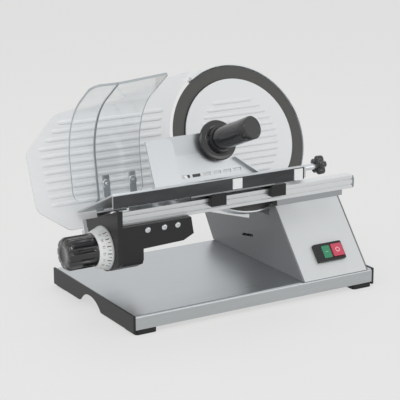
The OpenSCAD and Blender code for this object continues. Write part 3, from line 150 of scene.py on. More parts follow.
# thickness knob: radius, where its flutes begin to fade and over what length, and how many there are
KNOB_RADIUS, FADE_START, FADE_LENGTH, FLUTES = 27.0, -19.0, 4.0, 10
# star knob: radius, lobes and bore
STAR_RADIUS, STAR_LOBES, STAR_BORE = 15.7, 5, 5.05

# left end and length of the housing's arm, and the shares of it at which its screws stand
ARM_START, ARM_LENGTH, SCREW_SHARES = 57, 92, (0.087, 0.413, 0.679)

# the way that the tower's front faces
TOWER_OUT = Vector((0, -0.773177, 0.634190))
# the switch's marks: name, the button that carries it, and the print's colour
SWITCH_MARKS = (("start_mark", "start_button", "#8fd0b0"), ("stop_mark", "stop_button", "#f3b9c4"))

# camera: place in metres, then how far it looks to the right, down and rolls
CAMERA_SPOT = (-1.0145, -1.8884, 0.8016)
AZIMUTH, ELEVATION, ROLL = math.radians(30.74), math.radians(15.47), math.radians(-0.26)
# focal length in the picture's pixels, the picture's width in pixels, and the sensor's width
FOCAL_PIXELS, PICTURE_WIDTH, SENSOR = 1464.12, 400, 36
# point in metres that the lamps look at, then each lamp's name, place in metres, width in metres and watts
AIM = (0.22, 0.1, 0.18)
LAMPS = (
    ("key_softbox", (-0.9, -1.5, 2.3), 0.9, 15),
    ("fill_softbox", (-2.2, -0.2, 1.3), 1.2, 5),
    ("top_softbox", (0.6, 0.9, 2.1), 1.0, 5),
    ("front_softbox", (1.3, -2.0, 0.9), 1.1, 3.5),
)
# radius of the floor in metres, and the share of it that shows as lit paper
FLOOR_RADIUS, FLOOR_LIFT = 14, 0.72
# strength of the studio's walls as light on the object, and as they are seen
WALL_LIGHT, WALL_SEEN = 0.72, 1.0


def middle(node):
    """The middle of a node's box, in metres."""
    low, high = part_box(node)
    return (low + high) / 2


# origin in the middle of the blade's front face, X along the rail, Y back along the shaft, Z up the slope
BLADE = Matrix.Translation(middle("blade")) @ Matrix.Rotation(-TILT, 4, "X") @ Matrix.Scale(MM, 4)
TRAY_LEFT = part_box("base_tray")[0].x / MM
BLADE_X = middle("blade").x / MM - TRAY_LEFT
# the same frame, with X counted from the tray's left end
SLOPE = BLADE @ Matrix.Translation((-BLADE_X, 0, 0))


def turned_to(axis):
    """A rotation that lays the local Z axis along axis."""
    return Vector((0, 0, 1)).rotation_difference(Vector(axis)).to_matrix().to_4x4()


def linear(code):
    """A colour written as sRGB hex, as linear light."""
    parts = [int(code[i : i + 2], 16) / 255 for i in (1, 3, 5)]
    return (*(c / 12.92 if c <= 0.04045 else ((c + 0.055) / 1.055) ** 2.4 for c in parts), 1.0)


# materials


def add(tree, kind, inputs=None, **settings):
    """Adds a node, sets it up, and links or fills its inputs."""
    made = tree.nodes.new(kind)
    for name, value in settings.items():
        setattr(made, name, value)
    for name, value in (inputs or {}).items():
        if isinstance(value, bpy.types.NodeSocket):
            tree.links.new(value, made.inputs[name])
        else:
            made.inputs[name].default_value = value
    return made


def finish(name, colour, metallic, roughness, grain, tone=0.0, spread=0.0, relief=0.0, turn=(0, 0, 0),
           centre=None, **sockets):
    """A surface with a grain. colour is linear; grain is its size along X, Y and Z in mm; tone is how much
    the colour varies, spread how much the roughness does, and relief the height of the grain in mm. With
    centre, a point in metres, the grain runs round an axis through it, as on a turned or spun piece."""
    if name in bpy.data.materials:
        return bpy.data.materials[name]
    mat = bpy.data.materials.new(name)
    mat.use_nodes = True
    tree = mat.node_tree
    shader = tree.nodes["Principled BSDF"]
    shader.inputs["Base Color"].default_value = colour
    shader.inputs["Metallic"].default_value = metallic
    shader.inputs["Roughness"].default_value = roughness
    for socket, value in sockets.items():
        shader.inputs[socket.replace("_", " ")].default_value = value
    place = add(tree, "ShaderNodeTexCoord").outputs["Object"]
    if centre is not None:
        moved = add(tree, "ShaderNodeVectorMath", {0: place, 1: tuple(centre)}, operation="SUBTRACT")
        turned = add(tree, "ShaderNodeVectorRotate", {"Vector": moved.outputs[0], "Angle": turn[0]},
                     rotation_type="X_AXIS")
        parts = add(tree, "ShaderNodeSeparateXYZ", {0: turned.outputs[0]})
        flat = add(tree, "ShaderNodeCombineXYZ", {0: parts.outputs[0], 1: parts.outputs[2]})
        reach = add(tree, "ShaderNodeVectorMath", {0: flat.outputs[0]}, operation="LENGTH")
        place = add(tree, "ShaderNodeCombineXYZ", {0: reach.outputs["Value"], 1: parts.outputs[1]}).outputs[0]
        turn = (0, 0, 0)
    scale = tuple(1 / (g * MM) for g in grain)
    spot = add(tree, "ShaderNodeMapping", {"Vector": place, "Rotation": turn, "Scale": scale},
               vector_type="POINT")
    noise = add(tree, "ShaderNodeTexNoise", {"Vector": spot.outputs[0], "Scale": 1.0, "Detail": 3.0})
    if tone:
        dark, light = (tuple(c * k for c in colour[:3]) + (1.0,) for k in (1 - tone, 1 + tone))
        tint = add(tree, "ShaderNodeMix", {"Factor": noise.outputs[0], 6: dark, 7: light}, data_type="RGBA")
        tree.links.new(tint.outputs[2], shader.inputs["Base Color"])
    if spread:
        span = add(tree, "ShaderNodeMapRange", {"Value": noise.outputs[0], "From Min": 0.25, "From Max": 0.75,
                                                "To Min": max(0.02, roughness - spread),
                                                "To Max": roughness + spread})
        tree.links.new(span.outputs[0], shader.inputs["Roughness"])
    if relief:
        bump = add(tree, "ShaderNodeBump", {"Height": noise.outputs[0], "Distance": relief * MM,
                                            "Strength": 1.0})
        tree.links.new(bump.outputs[0], shader.inputs["Normal"])
    return mat


def clear_sheet(name, colour, roughness, ior):
    """Clear polycarbonate. Lamps reach through it, as they do through the real sheet."""
    if name in bpy.data.materials:
        return bpy.data.materials[name]
    mat = finish(name, colour, 0.0, roughness, (60, 60, 60), spread=0.015, IOR=ior, Transmission_Weight=1.0)
    tree = mat.node_tree
    out = tree.nodes["Material Output"]
    path = add(tree, "ShaderNodeLightPath")
    glass = tree.nodes["Principled BSDF"]
    thin = add(tree, "ShaderNodeBsdfTransparent", {"Color": linear("#f2f5f6")})
    pick = add(tree, "ShaderNodeMixShader", {0: path.outputs["Is Shadow Ray"], 1: glass.outputs[0],
                                             2: thin.outputs[0]})
    tree.links.new(pick.outputs[0], out.inputs["Surface"])
    return mat


def finishes(look):
    """One material for each of the record's slots, named for what the real surface is."""
    centre = middle("blade")
    return {
        # 304 stainless sheet, satin-brushed along the rail: fine long streaks and soft broad reflections
        "tray_steel": finish("satin_brushed_stainless", look.tray, 1.0, 0.34, (90, 1.6, 1.6),
                             0.05, 0.07, 0.004),
        # stainless sheet of the tower, brushed across its face; its colour is set paler than the tray's as
        # painted light, where the face turns to the lamps
        "tower_aluminium": finish("brushed_stainless_tower", look.tower, 0.4, 0.42, (70, 1.5, 1.5),
                                  0.03, 0.06, 0.004),
        # grey side plates of the tower: a mid-grey painted as the shade and dark reflection of a steel side
        # turned from the light; even, slightly wavy, with a soft gloss
        "dark_paint": finish("stoved_grey_enamel", look.enamel, 0.0, 0.24, (1.4, 1.4, 1.4),
                             0.05, 0.04, 0.004),
        # powder-coated cast aluminium and ABS mouldings: a fine matte pimple that breaks up highlights
        "black_plastic": finish("black_powder_coat", look.black, 0.0, 0.4, (0.9, 0.9, 0.9),
                                0.12, 0.08, 0.015),
        # phenolic moulding: smooth and glossy, with a faint flow in its polish
        "black_gloss_plastic": finish("black_phenolic", look.phenolic, 0.0, 0.15, (9, 9, 9), 0.1, 0.04, 0.0,
                                      Coat_Weight=0.6, Coat_Roughness=0.08),
        # nitrile rubber: dull, with a dusty bloom
        "rubber": finish("nitrile_rubber", linear("#1b1b1c"), 0.0, 0.72, (1.1, 1.1, 1.1), 0.25, 0.1, 0.03),
        # zinc-plated and polished steel: small turned parts, bright with slight blur
        "bright_steel": finish("zinc_plated_steel", linear("#d3d6d8"), 1.0, 0.2, (3, 3, 3),
                               0.04, 0.06, 0.002),
        # turned steel: fine tool lines round the shaft
        "machined_steel": finish("turned_steel", linear("#b4b6b8"), 1.0, 0.3, (0.7, 0.7, 0.7),
                                 0.06, 0.06, 0.004, turn=(TILT, 0, 0), centre=centre),
        # sand-cast aluminium left bare: grey, with a sandy skin
        "cast_aluminium": finish("sand_cast_aluminium", linear("#a6a9ab"), 1.0, 0.5, (1.3, 1.3, 1.3),
                                 0.08, 0.08, 0.05),
        # extruded aluminium, natural anodised: die lines run along the whole rail
        "rail_aluminium": finish("extruded_aluminium", look.rail, 0.75, 0.34, (260, 1.6, 1.6),
                                 0.02, 0.03, 0.001),
        # hardened blade steel, ground round its axis; its dark grey with no metal is a painted reflection of
        # a dark room on the polished blade
        "blade_coating": finish("coated_blade_steel", look.blade, 0.0, 0.36, (1.6, 1.6, 1.6),
                                0.2, 0.08, 0.004, turn=(TILT, 0, 0), centre=centre),
        # aluminium casting of the ring guard, turned and polished to a soft sheen
        "ring_aluminium": finish("polished_aluminium", linear("#dcdedf"), 0.7, 0.34, (4, 4, 4),
                                 0.03, 0.05, 0.002),
        # bead-blasted and pale-anodised aluminium: almost white, satin, with a fine even tooth
        "pale_aluminium": finish("pale_anodised_aluminium", look.pale, 0.1, 0.42, (0.8, 0.8, 0.8),
                                 0.025, 0.06, 0.012),
        # satin stainless of the table and pusher: brushed along the rail, softer and brighter than the tray
        "table_steel": finish("satin_table_stainless", look.table, 1.0, 0.38, (60, 1.4, 1.4),
                              0.04, 0.05, 0.002),
        # white acetal of the dial, the cam and the skirt's clamps: smooth, slightly waxy
        "white_plastic": finish("white_acetal", linear("#f3f3f1"), 0.0, 0.35, (6, 6, 6), 0.015, 0.06, 0.0,
                                Subsurface_Weight=0.05),
        # clear polycarbonate of the hand guard: glossy, with a faint haze from wiping
        "clear_plastic": clear_sheet("clear_polycarbonate", look.clear, 0.035, 1.585),
        # grey ABS: moulded, soft sheen
        "grey_plastic": finish("grey_abs", look.stay, 0.0, 0.4, (1.2, 1.2, 1.2), 0.05, 0.06, 0.01),
        # push buttons in green and red polycarbonate: glossy moulded caps
        "green_button": finish("green_polycarbonate", linear("#2f8a63"), 0.0, 0.25, (5, 5, 5),
                               0.06, 0.05, 0.0, Coat_Weight=0.3),
        "red_button": finish("red_polycarbonate", linear("#d0435c"), 0.0, 0.25, (5, 5, 5),
                             0.06, 0.05, 0.0, Coat_Weight=0.3),
        # cream ABS box of the control circuit: dull, with a fine moulded skin
        "cream_plastic": finish("cream_abs", linear("#d8d0b8"), 0.0, 0.45, (1.5, 1.5, 1.5), 0.03, 0.05, 0.01),
    }


def mirror_steel(look):
    """Polished stainless of the table's front skirt; its dark grey is a painted reflection of a dark room on
    the operator's side.
    """
    return finish("mirror_stainless_skirt", look.skirt, 0.9, 0.2, (70, 14, 14), 0.45, 0.05, 0.0)


# mesh helpers


def finished(name, mesh, material, rider, smooth=35.0, replaces=()):
    """Turns a bmesh in world metres into a piece that rides with the node called rider."""
    bmesh.ops.recalc_face_normals(mesh, faces=mesh.faces)
    for face in mesh.faces:
        face.smooth = True
    for edge in mesh.edges:
        if len(edge.link_faces) == 2 and edge.calc_face_angle(0.0) > math.radians(smooth):
            edge.smooth = False
    data = bpy.data.meshes.new(name)
    mesh.to_mesh(data)
    mesh.free()
    made = bpy.data.objects.new(name, data)
    bpy.context.scene.collection.objects.link(made)
    for one in material if isinstance(material, (list, tuple)) else [material]:
        data.materials.append(one)
    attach(made, body_of(frame["nodes"][rider])[0])
    if replaces:
        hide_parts(*replaces)
    return made


def turned(mesh, profile, place, steps=96, reach=None):
    """Adds a turned form: profile holds (height, radius) pairs along the local Z axis, from one end to
    the other, and reach may change the radius with the angle."""
    rows = []
    for height, radius in profile:
        if radius == 0:
            rows.append([mesh.verts.new(place @ Vector((0, 0, height)))])
            continue
        row = []
        for i in range(steps):
            a = math.tau * i / steps
            r = reach(height, radius, a) if reach else radius
            row.append(mesh.verts.new(place @ Vector((r * math.cos(a), r * math.sin(a), height))))
        rows.append(row)
    for low, high in zip(rows, rows[1:]):
        for i in range(steps):
            after = i + 1
            ring = [low[i % len(low)], low[after % len(low)], high[after % len(high)], high[i % len(high)]]
            # a ring that ends in a point gives triangles
            mesh.faces.new(list(dict.fromkeys(ring)))


def round_edge(height, radius, size, way):
    """Profile points of a rounded rim at height and radius; way is +1 at the upper end, -1 at the lower."""
    steps = 4
    points = []
    for i in range(steps + 1):
        a = math.pi / 2 * (i / steps if way > 0 else 1 - i / steps)
        points.append((height - way * size * (1 - math.sin(a)), radius - size * (1 - math.cos(a))))
    return points


def ridge(mesh, start, end, half_width, height, face, place, taper):
    """Adds a cast rib with a rounded back and ends that run out, from start to end at one height up
    the slope."""
    rows, arc = 7, 8
    (x0, z), (x1, _) = start, end
    stations = []
    for i in range(rows):
        a = math.pi / 2 * i / rows
        stations.append((x0 + taper * (1 - math.cos(a)), math.sin(a)))
    stations.append((x0 + taper, 1.0))
    stations += [(x0 + x1 - x, k) for x, k in reversed(stations)]
    loops = []
    for x, k in stations:
        k = max(k, 0.02)
        loop = []
        for i in range(arc + 1):
            a = math.pi * i / arc
            loop.append(mesh.verts.new(place @ Vector((x, face - height * k * math.sin(a) + 0.02,
                                                       z + half_width * k * math.cos(a)))))
        loops.append(loop)
    for one, two in zip(loops, loops[1:]):
        for i in range(arc):
            mesh.faces.new((one[i], one[i + 1], two[i + 1], two[i]))
    for loop in (loops[0], loops[-1]):
        mesh.faces.new(loop)


def taken_over(node):
    """A copy of a CAD node's mesh, with its corners joined."""
    mesh = bmesh.new()
    mesh.from_mesh(frame["nodes"][node].data)
    bmesh.ops.remove_doubles(mesh, verts=mesh.verts, dist=WELD * MM)
    return mesh


def soften(node, width):
    """Rounds the sharp edges of a CAD node as a modifier, so that they catch the light."""
    thing = frame["nodes"][node]
    for face in thing.data.polygons:
        face.use_smooth = True
    weld = thing.modifiers.new("join", "WELD")
    weld.merge_threshold = WELD * MM
    bevel = thing.modifiers.new("round", "BEVEL")
    bevel.width = width * MM
    bevel.segments = 2
    bevel.limit_method = "ANGLE"
    bevel.angle_limit = math.radians(32)
    bevel.use_clamp_overlap = True
    even = thing.modifiers.new("shade", "WEIGHTED_NORMAL")
    even.keep_sharp = False
    even.weight = 80


# settings


def colour_choice(name, description, code):
    """A colour that is given here as sRGB hex and kept as Blender's own linear colour."""
    return bpy.props.FloatVectorProperty(name=name, description=description, default=linear(code), size=4,
                                         min=0, max=1, subtype="COLOR")


def size_choice(name, description, default, least, most):
    """A size that is given here in millimetres and kept in Blender's own metres."""
    return bpy.props.FloatProperty(name=name, description=description, default=default * MM, min=least * MM,
                                   max=most * MM, subtype="DISTANCE", unit="LENGTH")


class SlicerLook(bpy.types.PropertyGroup):
    """Colours of the main surfaces."""

    tray: colour_choice("Tray", "Satin stainless of the base tray", "#b9bcbe")
    # the tower's colour is paler than the tray's: painted light on the face that turns to the lamps
    tower: colour_choice("Tower", "Stainless face of the motor tower", "#d6d8d8")
    # the side plates' mid-grey is painted shade and dark reflection
    enamel: colour_choice("Side plates", "Grey of the tower's side plates, painted shade", "#7a7c7e")
    black: colour_choice("Castings", "Powder coat of the housing and end panels", "#141415")
    phenolic: colour_choice("Knobs", "Black phenolic of the knobs and the handle", "#121213")
    rail: colour_choice("Rail", "Anodised aluminium of the rail", "#dddfe0")
    # the blade's dark grey is a painted reflection of a dark room
    blade: colour_choice("Blade", "Dark grey of the blade, painted reflection", "#4a4947")
    pale: colour_choice("Plates", "Pale anodised gauge plate and blade cover", "#e6e7e8")
    table: colour_choice("Table", "Stainless of the food table and pusher", "#c6c9cb")
    # the skirt's dark grey is a painted reflection of a dark room
    skirt: colour_choice("Skirt", "Dark grey of the table's front skirt, painted reflection", "#4b4c4e")
    stay: colour_choice("Stay", "Grey strip between the guard's two panels", "#8b9195")
    clear: colour_choice("Guard", "Tint of the clear guard", "#fbfcfc")
    floor: colour_choice("Floor", "Studio floor", "#e8e8e7")


class SlicerSizes(bpy.types.PropertyGroup):
    """Sizes of the fine detail."""

    rib_width: size_choice("Rib width", "Width of a cast rib", 7.4, 4, 10)
    rib_height: size_choice("Rib height", "Height of a cast rib", 2.0, 1.3, 2.0)
    digit: size_choice("Digit", "Height of a number on the dial", 5.2, 3, 7)


def look():
    return bpy.context.scene.slicer_look


def sizes():
    return bpy.context.scene.slicer_sizes


# width of the rounded edges of each CAD node that is shown, in millimetres
SOFT_EDGES = {
    "base_tray": 0.5, "left_panel": 0.8, "right_panel": 0.8, "rubber_feet": 1.2, "tower_shell": 0.5,
    "tower_left_plate": 0.5, "tower_right_plate": 0.5, "control_housing": 1.0, "switch_bezel": 0.7,
    "start_button": 0.8, "stop_button": 0.8, "ring_guard": 0.4, "blade_cover": 0.5, "gauge_plate": 0.8,
    "rail": 0.4, "rail_foot": 0.5, "rail_end_cap": 0.6, "rail_stop": 0.4, "food_table": 0.4,
    "carriage_beam": 0.5, "slide_shoes": 0.8, "skirt_clamps": 0.4, "guard_stay": 0.3,
    "guard_brackets": 0.4, "star_knob_bracket": 0.4, "slice_deflector": 0.3, "head_casting": 1.0,
    "bearing_cap": 0.6, "motor": 1.0, "motor_bracket": 0.4, "gauge_carrier": 0.8, "bottom_cover": 0.4,
    "cord_gland": 0.6, "control_box": 0.8, "switch_body": 0.5,
}


class SLICER_OT_surfaces(bpy.types.Operator):
    """Gives every CAD node its finish and rounds the edges that are seen"""

    bl_idname = "slicer.surfaces"
    bl_label = "Finish the frame"

    def execute(self, context):
        made = finishes(look())
        for part in frame["record"]["subparts"]:
            thing = frame["nodes"][part["node"]]
            thing.data.materials.clear()
            thing.data.materials.append(made[part["material_slot"]])
        for node, width in SOFT_EDGES.items():
            soften(node, width)
        table = frame["nodes"]["food_table"]
        table.data.materials.append(mirror_steel(look()))
        # the skirt is the upright sheet at the table's front; its faces take a darker copy of the table's
        # stainless, a painted reflection
        skirt_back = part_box("food_table")[0].y + 3.1 * MM
        for face in table.data.polygons:
            depth = sum(table.data.vertices[i].co.y for i in face.vertices) / len(face.vertices)
            if depth < skirt_back and face.normal.y < -0.9:
                face.material_index = 1
        return {"FINISHED"}


class SLICER_OT_ribs(bpy.types.Operator):
    """Lays the cast ribs on the gauge plate and the blade cover, and a seal round the cover"""

    bl_idname = "slicer.ribs"
    bl_label = "Cast ribs"

    def execute(self, context):
        half, height = sizes().rib_width / 2 / MM, sizes().rib_height / MM
        pale = finishes(look())["pale_aluminium"]
        mesh = bmesh.new()
        for i in range(PLATE_RIBS):
            z = PLATE_RIB_TOP - PLATE_RIB_PITCH * i
            inset = RIB_INSET if LOWER_CORNER <= z <= UPPER_CORNER else RIB_CORNER_INSET
            left = PLATE_LEFT + inset + max(0, z - UPPER_CORNER) * CORNER_RUN
            right = -math.sqrt(PLATE_RIB_CIRCLE**2 - z**2)
            ridge(mesh, (left - RIB_LAP, z), (right + RIB_LAP, z), half, height, FACE_OUT, BLADE, RIB_TAPER)
        finished("gauge_plate_ribs", mesh, pale, "gauge_plate")
        mesh = bmesh.new()
        for i in range(COVER_RIBS):
            z = COVER_RIB_TOP - COVER_RIB_PITCH * i
            reach = math.sqrt(COVER_RIB_CIRCLE**2 - z**2) + RIB_LAP
            ridge(mesh, (-reach, z), (reach, z), half - COVER_RIB_SLIMMER, height, COVER_OUT, BLADE,
                  RIB_TAPER)
        finished("blade_cover_ribs", mesh, pale, "blade_cover")
        mesh = bmesh.new()
        turned(mesh, SEAL, BLADE @ turned_to((0, -1, 0)), steps=192)
        finished("blade_cover_seal", mesh, finishes(look())["rubber"], "blade_cover")
        return {"FINISHED"}


def guard_point(x, along, out=0.0):
    """A point of the guard: x along the rail, along measured up the sheet from its foot, and out from
    the middle of its thickness towards the inside of the bend."""
    y, z = -GUARD_FOOT, GUARD_LOW
    straight = min(along, GUARD_STRAIGHT)
    y -= straight * math.sin(GUARD_LEAN)
    z += straight * math.cos(GUARD_LEAN)
    angle = GUARD_LEAN + max(0, min(along - GUARD_STRAIGHT, GUARD_ARC)) / GUARD_BEND
    y += GUARD_BEND * (math.cos(angle) - math.cos(GUARD_LEAN)) - out * math.cos(angle)
    z += GUARD_BEND * (math.sin(angle) - math.sin(GUARD_LEAN)) - out * math.sin(angle)
    roof = max(0, along - GUARD_STRAIGHT - GUARD_ARC)
    return SLOPE @ Vector((x, y - roof * math.sin(GUARD_TOP), z + roof * math.cos(GUARD_TOP)))


def rounded_outline(corners):
    """Points of a polygon whose corners, given as (x, y, radius), are rounded."""
    steps = 8
    points = []
    for i, (x, y, radius) in enumerate(corners):
        here = Vector((x, y))
        if not radius:
            points.append(here)
            continue
        one = (Vector(corners[i - 1][:2]) - here).normalized()
        two = (Vector(corners[(i + 1) % len(corners)][:2]) - here).normalized()
        half = one.angle(two) / 2
        centre = here + (one + two).normalized() * radius / math.sin(half)
        start = here + one * radius / math.tan(half) - centre
        end = here + two * radius / math.tan(half) - centre
        sweep = start.angle_signed(end)
        for k in range(steps + 1):
            a = -sweep * k / steps
            points.append(centre + Vector((start.x * math.cos(a) - start.y * math.sin(a),
                                           start.x * math.sin(a) + start.y * math.cos(a))))
    return points


def guard_panel(name, corners, node):
    """A curved clear panel with sawn edges, cut from a flat outline and bent."""
    flat = bmesh.new()
    flat.faces.new([flat.verts.new((p.x, p.y, 0)) for p in rounded_outline(corners)])
    for k in range(1, BEND_CUTS):
        bmesh.ops.bisect_plane(flat, geom=flat.verts[:] + flat.edges[:] + flat.faces[:],
                               plane_co=(0, k * BEND_STEP, 0), plane_no=(0, 1, 0))
    mesh = bmesh.new()
    skins = [{v: mesh.verts.new(guard_point(v.co.x, v.co.y, side)) for v in flat.verts}
             for side in (-GUARD_HALF, GUARD_HALF)]
    for skin in skins:
        for face in flat.faces:
            mesh.faces.new([skin[v] for v in face.verts])
    for edge in flat.edges:
        if len(edge.link_faces) == 1:
            one, two = edge.verts
            mesh.faces.new((skins[0][one], skins[0][two], skins[1][two], skins[1][one])).material_index = 1
    flat.free()
    sheets = finishes(look())
    edge = finish("sawn_polycarbonate_edge", linear("#a9afb2"), 0.0, 0.4, (0.6, 6, 6), 0.1, 0.05, 0.0)
    return finished(name, mesh, [sheets["clear_plastic"], edge], node, replaces=[node])


def knurl(height, radius, angle):
    """Radius of a knurled nut's rim; its thread end stays round."""
    return radius + 0.25 * math.sin(24 * angle) if 0.4 < height < 4.4 and radius > 5 else radius


class SLICER_OT_guard(bpy.types.Operator):
    """Bends the two clear panels of the hand guard and fits their fixings"""

    bl_idname = "slicer.guard"
    bl_label = "Clear guard"

    def execute(self, context):
        top = GUARD_STRAIGHT + GUARD_ARC
        roof, tip = top + GUARD_ROOF, top + GUARD_ROOF_TIP
        guard_panel("guard_left_sheet", [(GUARD_LEFT, 0, LEFT_CORNER), (SPLIT_LEFT, 0, 0),
                                         (SPLIT_LEFT, roof, 0), (GUARD_LEFT, roof, LEFT_CORNER)],
                    "guard_left_panel")
        guard_panel("guard_right_sheet", [(SPLIT_RIGHT, 0, 0), (GUARD_RIGHT, 0, RIGHT_CORNER),
                                          (GUARD_RIGHT, tip, TIP_CORNER), (SPLIT_RIGHT, roof, 0)],
                    "guard_right_panel")
        steel = finishes(look())["bright_steel"]
        nut = [(0, 0), (0, 6.2), (0.5, 6.6), (4.2, 6.6), (4.8, 6.0), (4.8, 3.2), (6.2, 2.6), (6.6, 1.4),
               (6.6, 0)]
        mesh = bmesh.new()
        for x in NUT_PLACES:
            seat = guard_point(x, NUT_UP)
            up = guard_point(x, NUT_UP + 1) - guard_point(x, NUT_UP - 1)
            out = up.cross(Vector((1, 0, 0))).normalized()
            out = out if out.y < 0 else -out
            place = Matrix.Translation(seat + out * 2 * MM) @ turned_to(out) @ Matrix.Scale(MM, 4)
            turned(mesh, nut, place, steps=120, reach=knurl)
        finished("guard_nuts", mesh, steel, "guard_brackets")
        return {"FINISHED"}


class SLICER_OT_fence(bpy.types.Operator):
    """Cuts the low fence at the table's front back to where the hand guard ends"""

    bl_idname = "slicer.fence"
    bl_label = "Fence"

    def execute(self, context):
        mesh = taken_over("wall_panel")
        bmesh.ops.bisect_plane(mesh, geom=mesh.verts[:] + mesh.edges[:] + mesh.faces[:],
                               plane_co=SLOPE @ Vector((FENCE_START, 0, 0)), plane_no=(1, 0, 0),
                               clear_inner=True)
        bmesh.ops.holes_fill(mesh, edges=[edge for edge in mesh.edges if edge.is_boundary], sides=0)
        finished("fence_sheet", mesh, finishes(look())["table_steel"], "wall_panel", smooth=30,
                 replaces=["wall_panel"])
        return {"FINISHED"}


class SLICER_OT_pusher(bpy.types.Operator):
    """Makes the creased pusher plate, its disc and its handle"""

    bl_idname = "slicer.pusher"
    bl_label = "Pusher"

    def execute(self, context):
        made = finishes(look())
        mesh = taken_over("pusher_plate")
        crease = SLOPE @ Vector((0, 0, CREASE))
        normal = (SLOPE.to_3x3() @ Vector((0, 0, 1))).normalized()
        back = (SLOPE.to_3x3() @ Vector((0, 1, 0))).normalized()
        bmesh.ops.bisect_plane(mesh, geom=mesh.verts[:] + mesh.edges[:] + mesh.faces[:], plane_co=crease,
                               plane_no=normal)
        for vert in mesh.verts:
            up = (vert.co - crease).dot(normal)
            if up > 0:
                vert.co += back * up * math.tan(CREASE_LEAN)
        finished("pusher_sheet", mesh, made["table_steel"], "pusher_plate", smooth=2.0,
                 replaces=["pusher_plate"])
        at_disc = SLOPE @ Matrix.Translation(DISC_SPOT)
        forward = at_disc @ turned_to((0, -1, 0))
        mesh = bmesh.new()
        disc = [(0, 0), (0, 11), (8, 11)] + round_edge(8, 32.5, 1.2, -1) + round_edge(12, 32.5, 2.4, 1)
        disc += [(12.3, 23.4), (12.8, 22.8), (14.5, 22.2), (18, 21.5), (22, 21), (22, 0)]
        turned(mesh, disc, forward)
        finished("pusher_disc_moulding", mesh, made["black_gloss_plastic"],
                 "pusher_disc", smooth=40, replaces=["pusher_disc"])
        way = turned_to((math.sin(GRIP_TURN), -math.cos(GRIP_TURN), 0))
        along = at_disc @ Matrix.Translation((0, -GRIP_START, 0)) @ way
        mesh = bmesh.new()
        grip = [(4, 0), (4, 18.4), (20, 18.3), (56, 18.3), (57, 18.5)] + round_edge(74, 18.5, 1.4, 1)
        grip += [(74, 15.4), (73.5, 15.0), (73.5, 0)]
        turned(mesh, grip, along)
        finished("pusher_grip", mesh, made["black_gloss_plastic"], "pusher_handle",
                 smooth=40, replaces=["pusher_handle"])
        return {"FINISHED"}


def knob_place():
    """The thickness control's axis: Z runs from the knob's outer end to the housing."""
    axle = middle("thickness_knob")
    spot = Vector((TRAY_LEFT * MM, axle.y, axle.z))
    return Matrix.Translation(spot) @ turned_to((1, 0, 0)) @ Matrix.Scale(MM, 4)


def dial_radius(height):
    """Radius of the dial's cone at a height along its axis."""
    share = (height - KNOB_START) / (DIAL_END - DIAL_RIM - KNOB_START)
    return DIAL_SMALL + (DIAL_LARGE - DIAL_SMALL) * min(1, share)


def on_dial(place, angle, height):
    """A point of the dial's print."""
    r = dial_radius(height) + PRINT_PROUD
    return place @ Vector((r * math.cos(angle), r * math.sin(angle), height))


class SLICER_OT_dial(bpy.types.Operator):
    """Turns the white dial and prints its ticks and numbers"""

    bl_idname = "slicer.dial"
    bl_label = "Scale dial"

    def execute(self, context):
        made = finishes(look())
        place = knob_place()
        mesh = bmesh.new()
        profile = [(KNOB_START, DIAL_BORE), (KNOB_START, 27.9), (KNOB_START + 0.5, 28.6)]
        profile += [(h, dial_radius(h)) for h in (-8, -3, 2, 6)] + [(7.4, 35.9), (8.2, DIAL_LARGE)]
        profile += round_edge(DIAL_END, DIAL_LARGE, 0.8, 1) + [(DIAL_END, DIAL_BORE)]
        turned(mesh, profile, place, steps=DIAL_STEPS)
        corners = list(mesh.verts)
        first, last = corners[:DIAL_STEPS], corners[-DIAL_STEPS:]
        for i in range(DIAL_STEPS):
            after = (i + 1) % DIAL_STEPS
            mesh.faces.new((first[after], first[i], last[i], last[after]))
        finished("dial_moulding", mesh, made["white_plastic"], "scale_dial", smooth=30,
                 replaces=["scale_dial"])
        ink = finish("black_pad_print", linear("#2a2b2c"), 0.0, 0.5, (0.6, 0.6, 0.6), 0.1, 0.05, 0.0)
        mesh = bmesh.new()
        for i in range(MARKS):
            centre = math.radians(FIRST_MARK - MARK_STEP * i)
            low, half = (SHORT_TICK, SHORT_HALF) if i % 2 else (LONG_TICK, LONG_HALF)
            rows = []
            for k in range(4):
                height = low + (TICK_END - low) * k / 3
                r = dial_radius(height)
                rows.append([mesh.verts.new(on_dial(place, centre + side * half / r, height))
                             for side in (-1, 0, 1)])
            for one, two in zip(rows, rows[1:]):
                for j in range(2):
                    mesh.faces.new((one[j], one[j + 1], two[j + 1], two[j]))
        for number in range((MARKS + 1) // 2):
            curve = bpy.data.curves.new("digit", "FONT")
            curve.body = str(number)
            curve.align_x, curve.align_y = "CENTER", "CENTER"
            curve.size = sizes().digit / MM
            holder = bpy.data.objects.new("digit", curve)
            bpy.context.scene.collection.objects.link(holder)
            shaped = holder.evaluated_get(bpy.context.evaluated_depsgraph_get())
            flat = bpy.data.meshes.new_from_object(shaped)
            centre = math.radians(FIRST_MARK - 2 * MARK_STEP * number)
            around = dial_radius(DIGIT_PLACE)
            corners = [mesh.verts.new(on_dial(place, centre - v.co.x / around, DIGIT_PLACE - v.co.y))
                       for v in flat.vertices]
            for face in flat.polygons:
                mesh.faces.new([corners[i] for i in face.vertices])
            bpy.data.objects.remove(holder)
            bpy.data.curves.remove(curve)
            bpy.data.meshes.remove(flat)
        finished("dial_print", mesh, ink, "scale_dial")
        return {"FINISHED"}


def scallop(radius, outer, count, bite, soft):
    """Radius of a knob's rim with count rounded hollows, each bite deep at the outer radius and soft degrees
    from its middle to its lip. Within radius the knob stays round."""
    def reach(height, r, a):
        pitch = math.tau / count
        off = abs((a + pitch / 2) % pitch - pitch / 2)
        share = min(1.0, off / math.radians(soft))
        return r - bite * (r / outer) * 0.5 * (1 + math.cos(math.pi * share)) if r > radius else r
    return reach


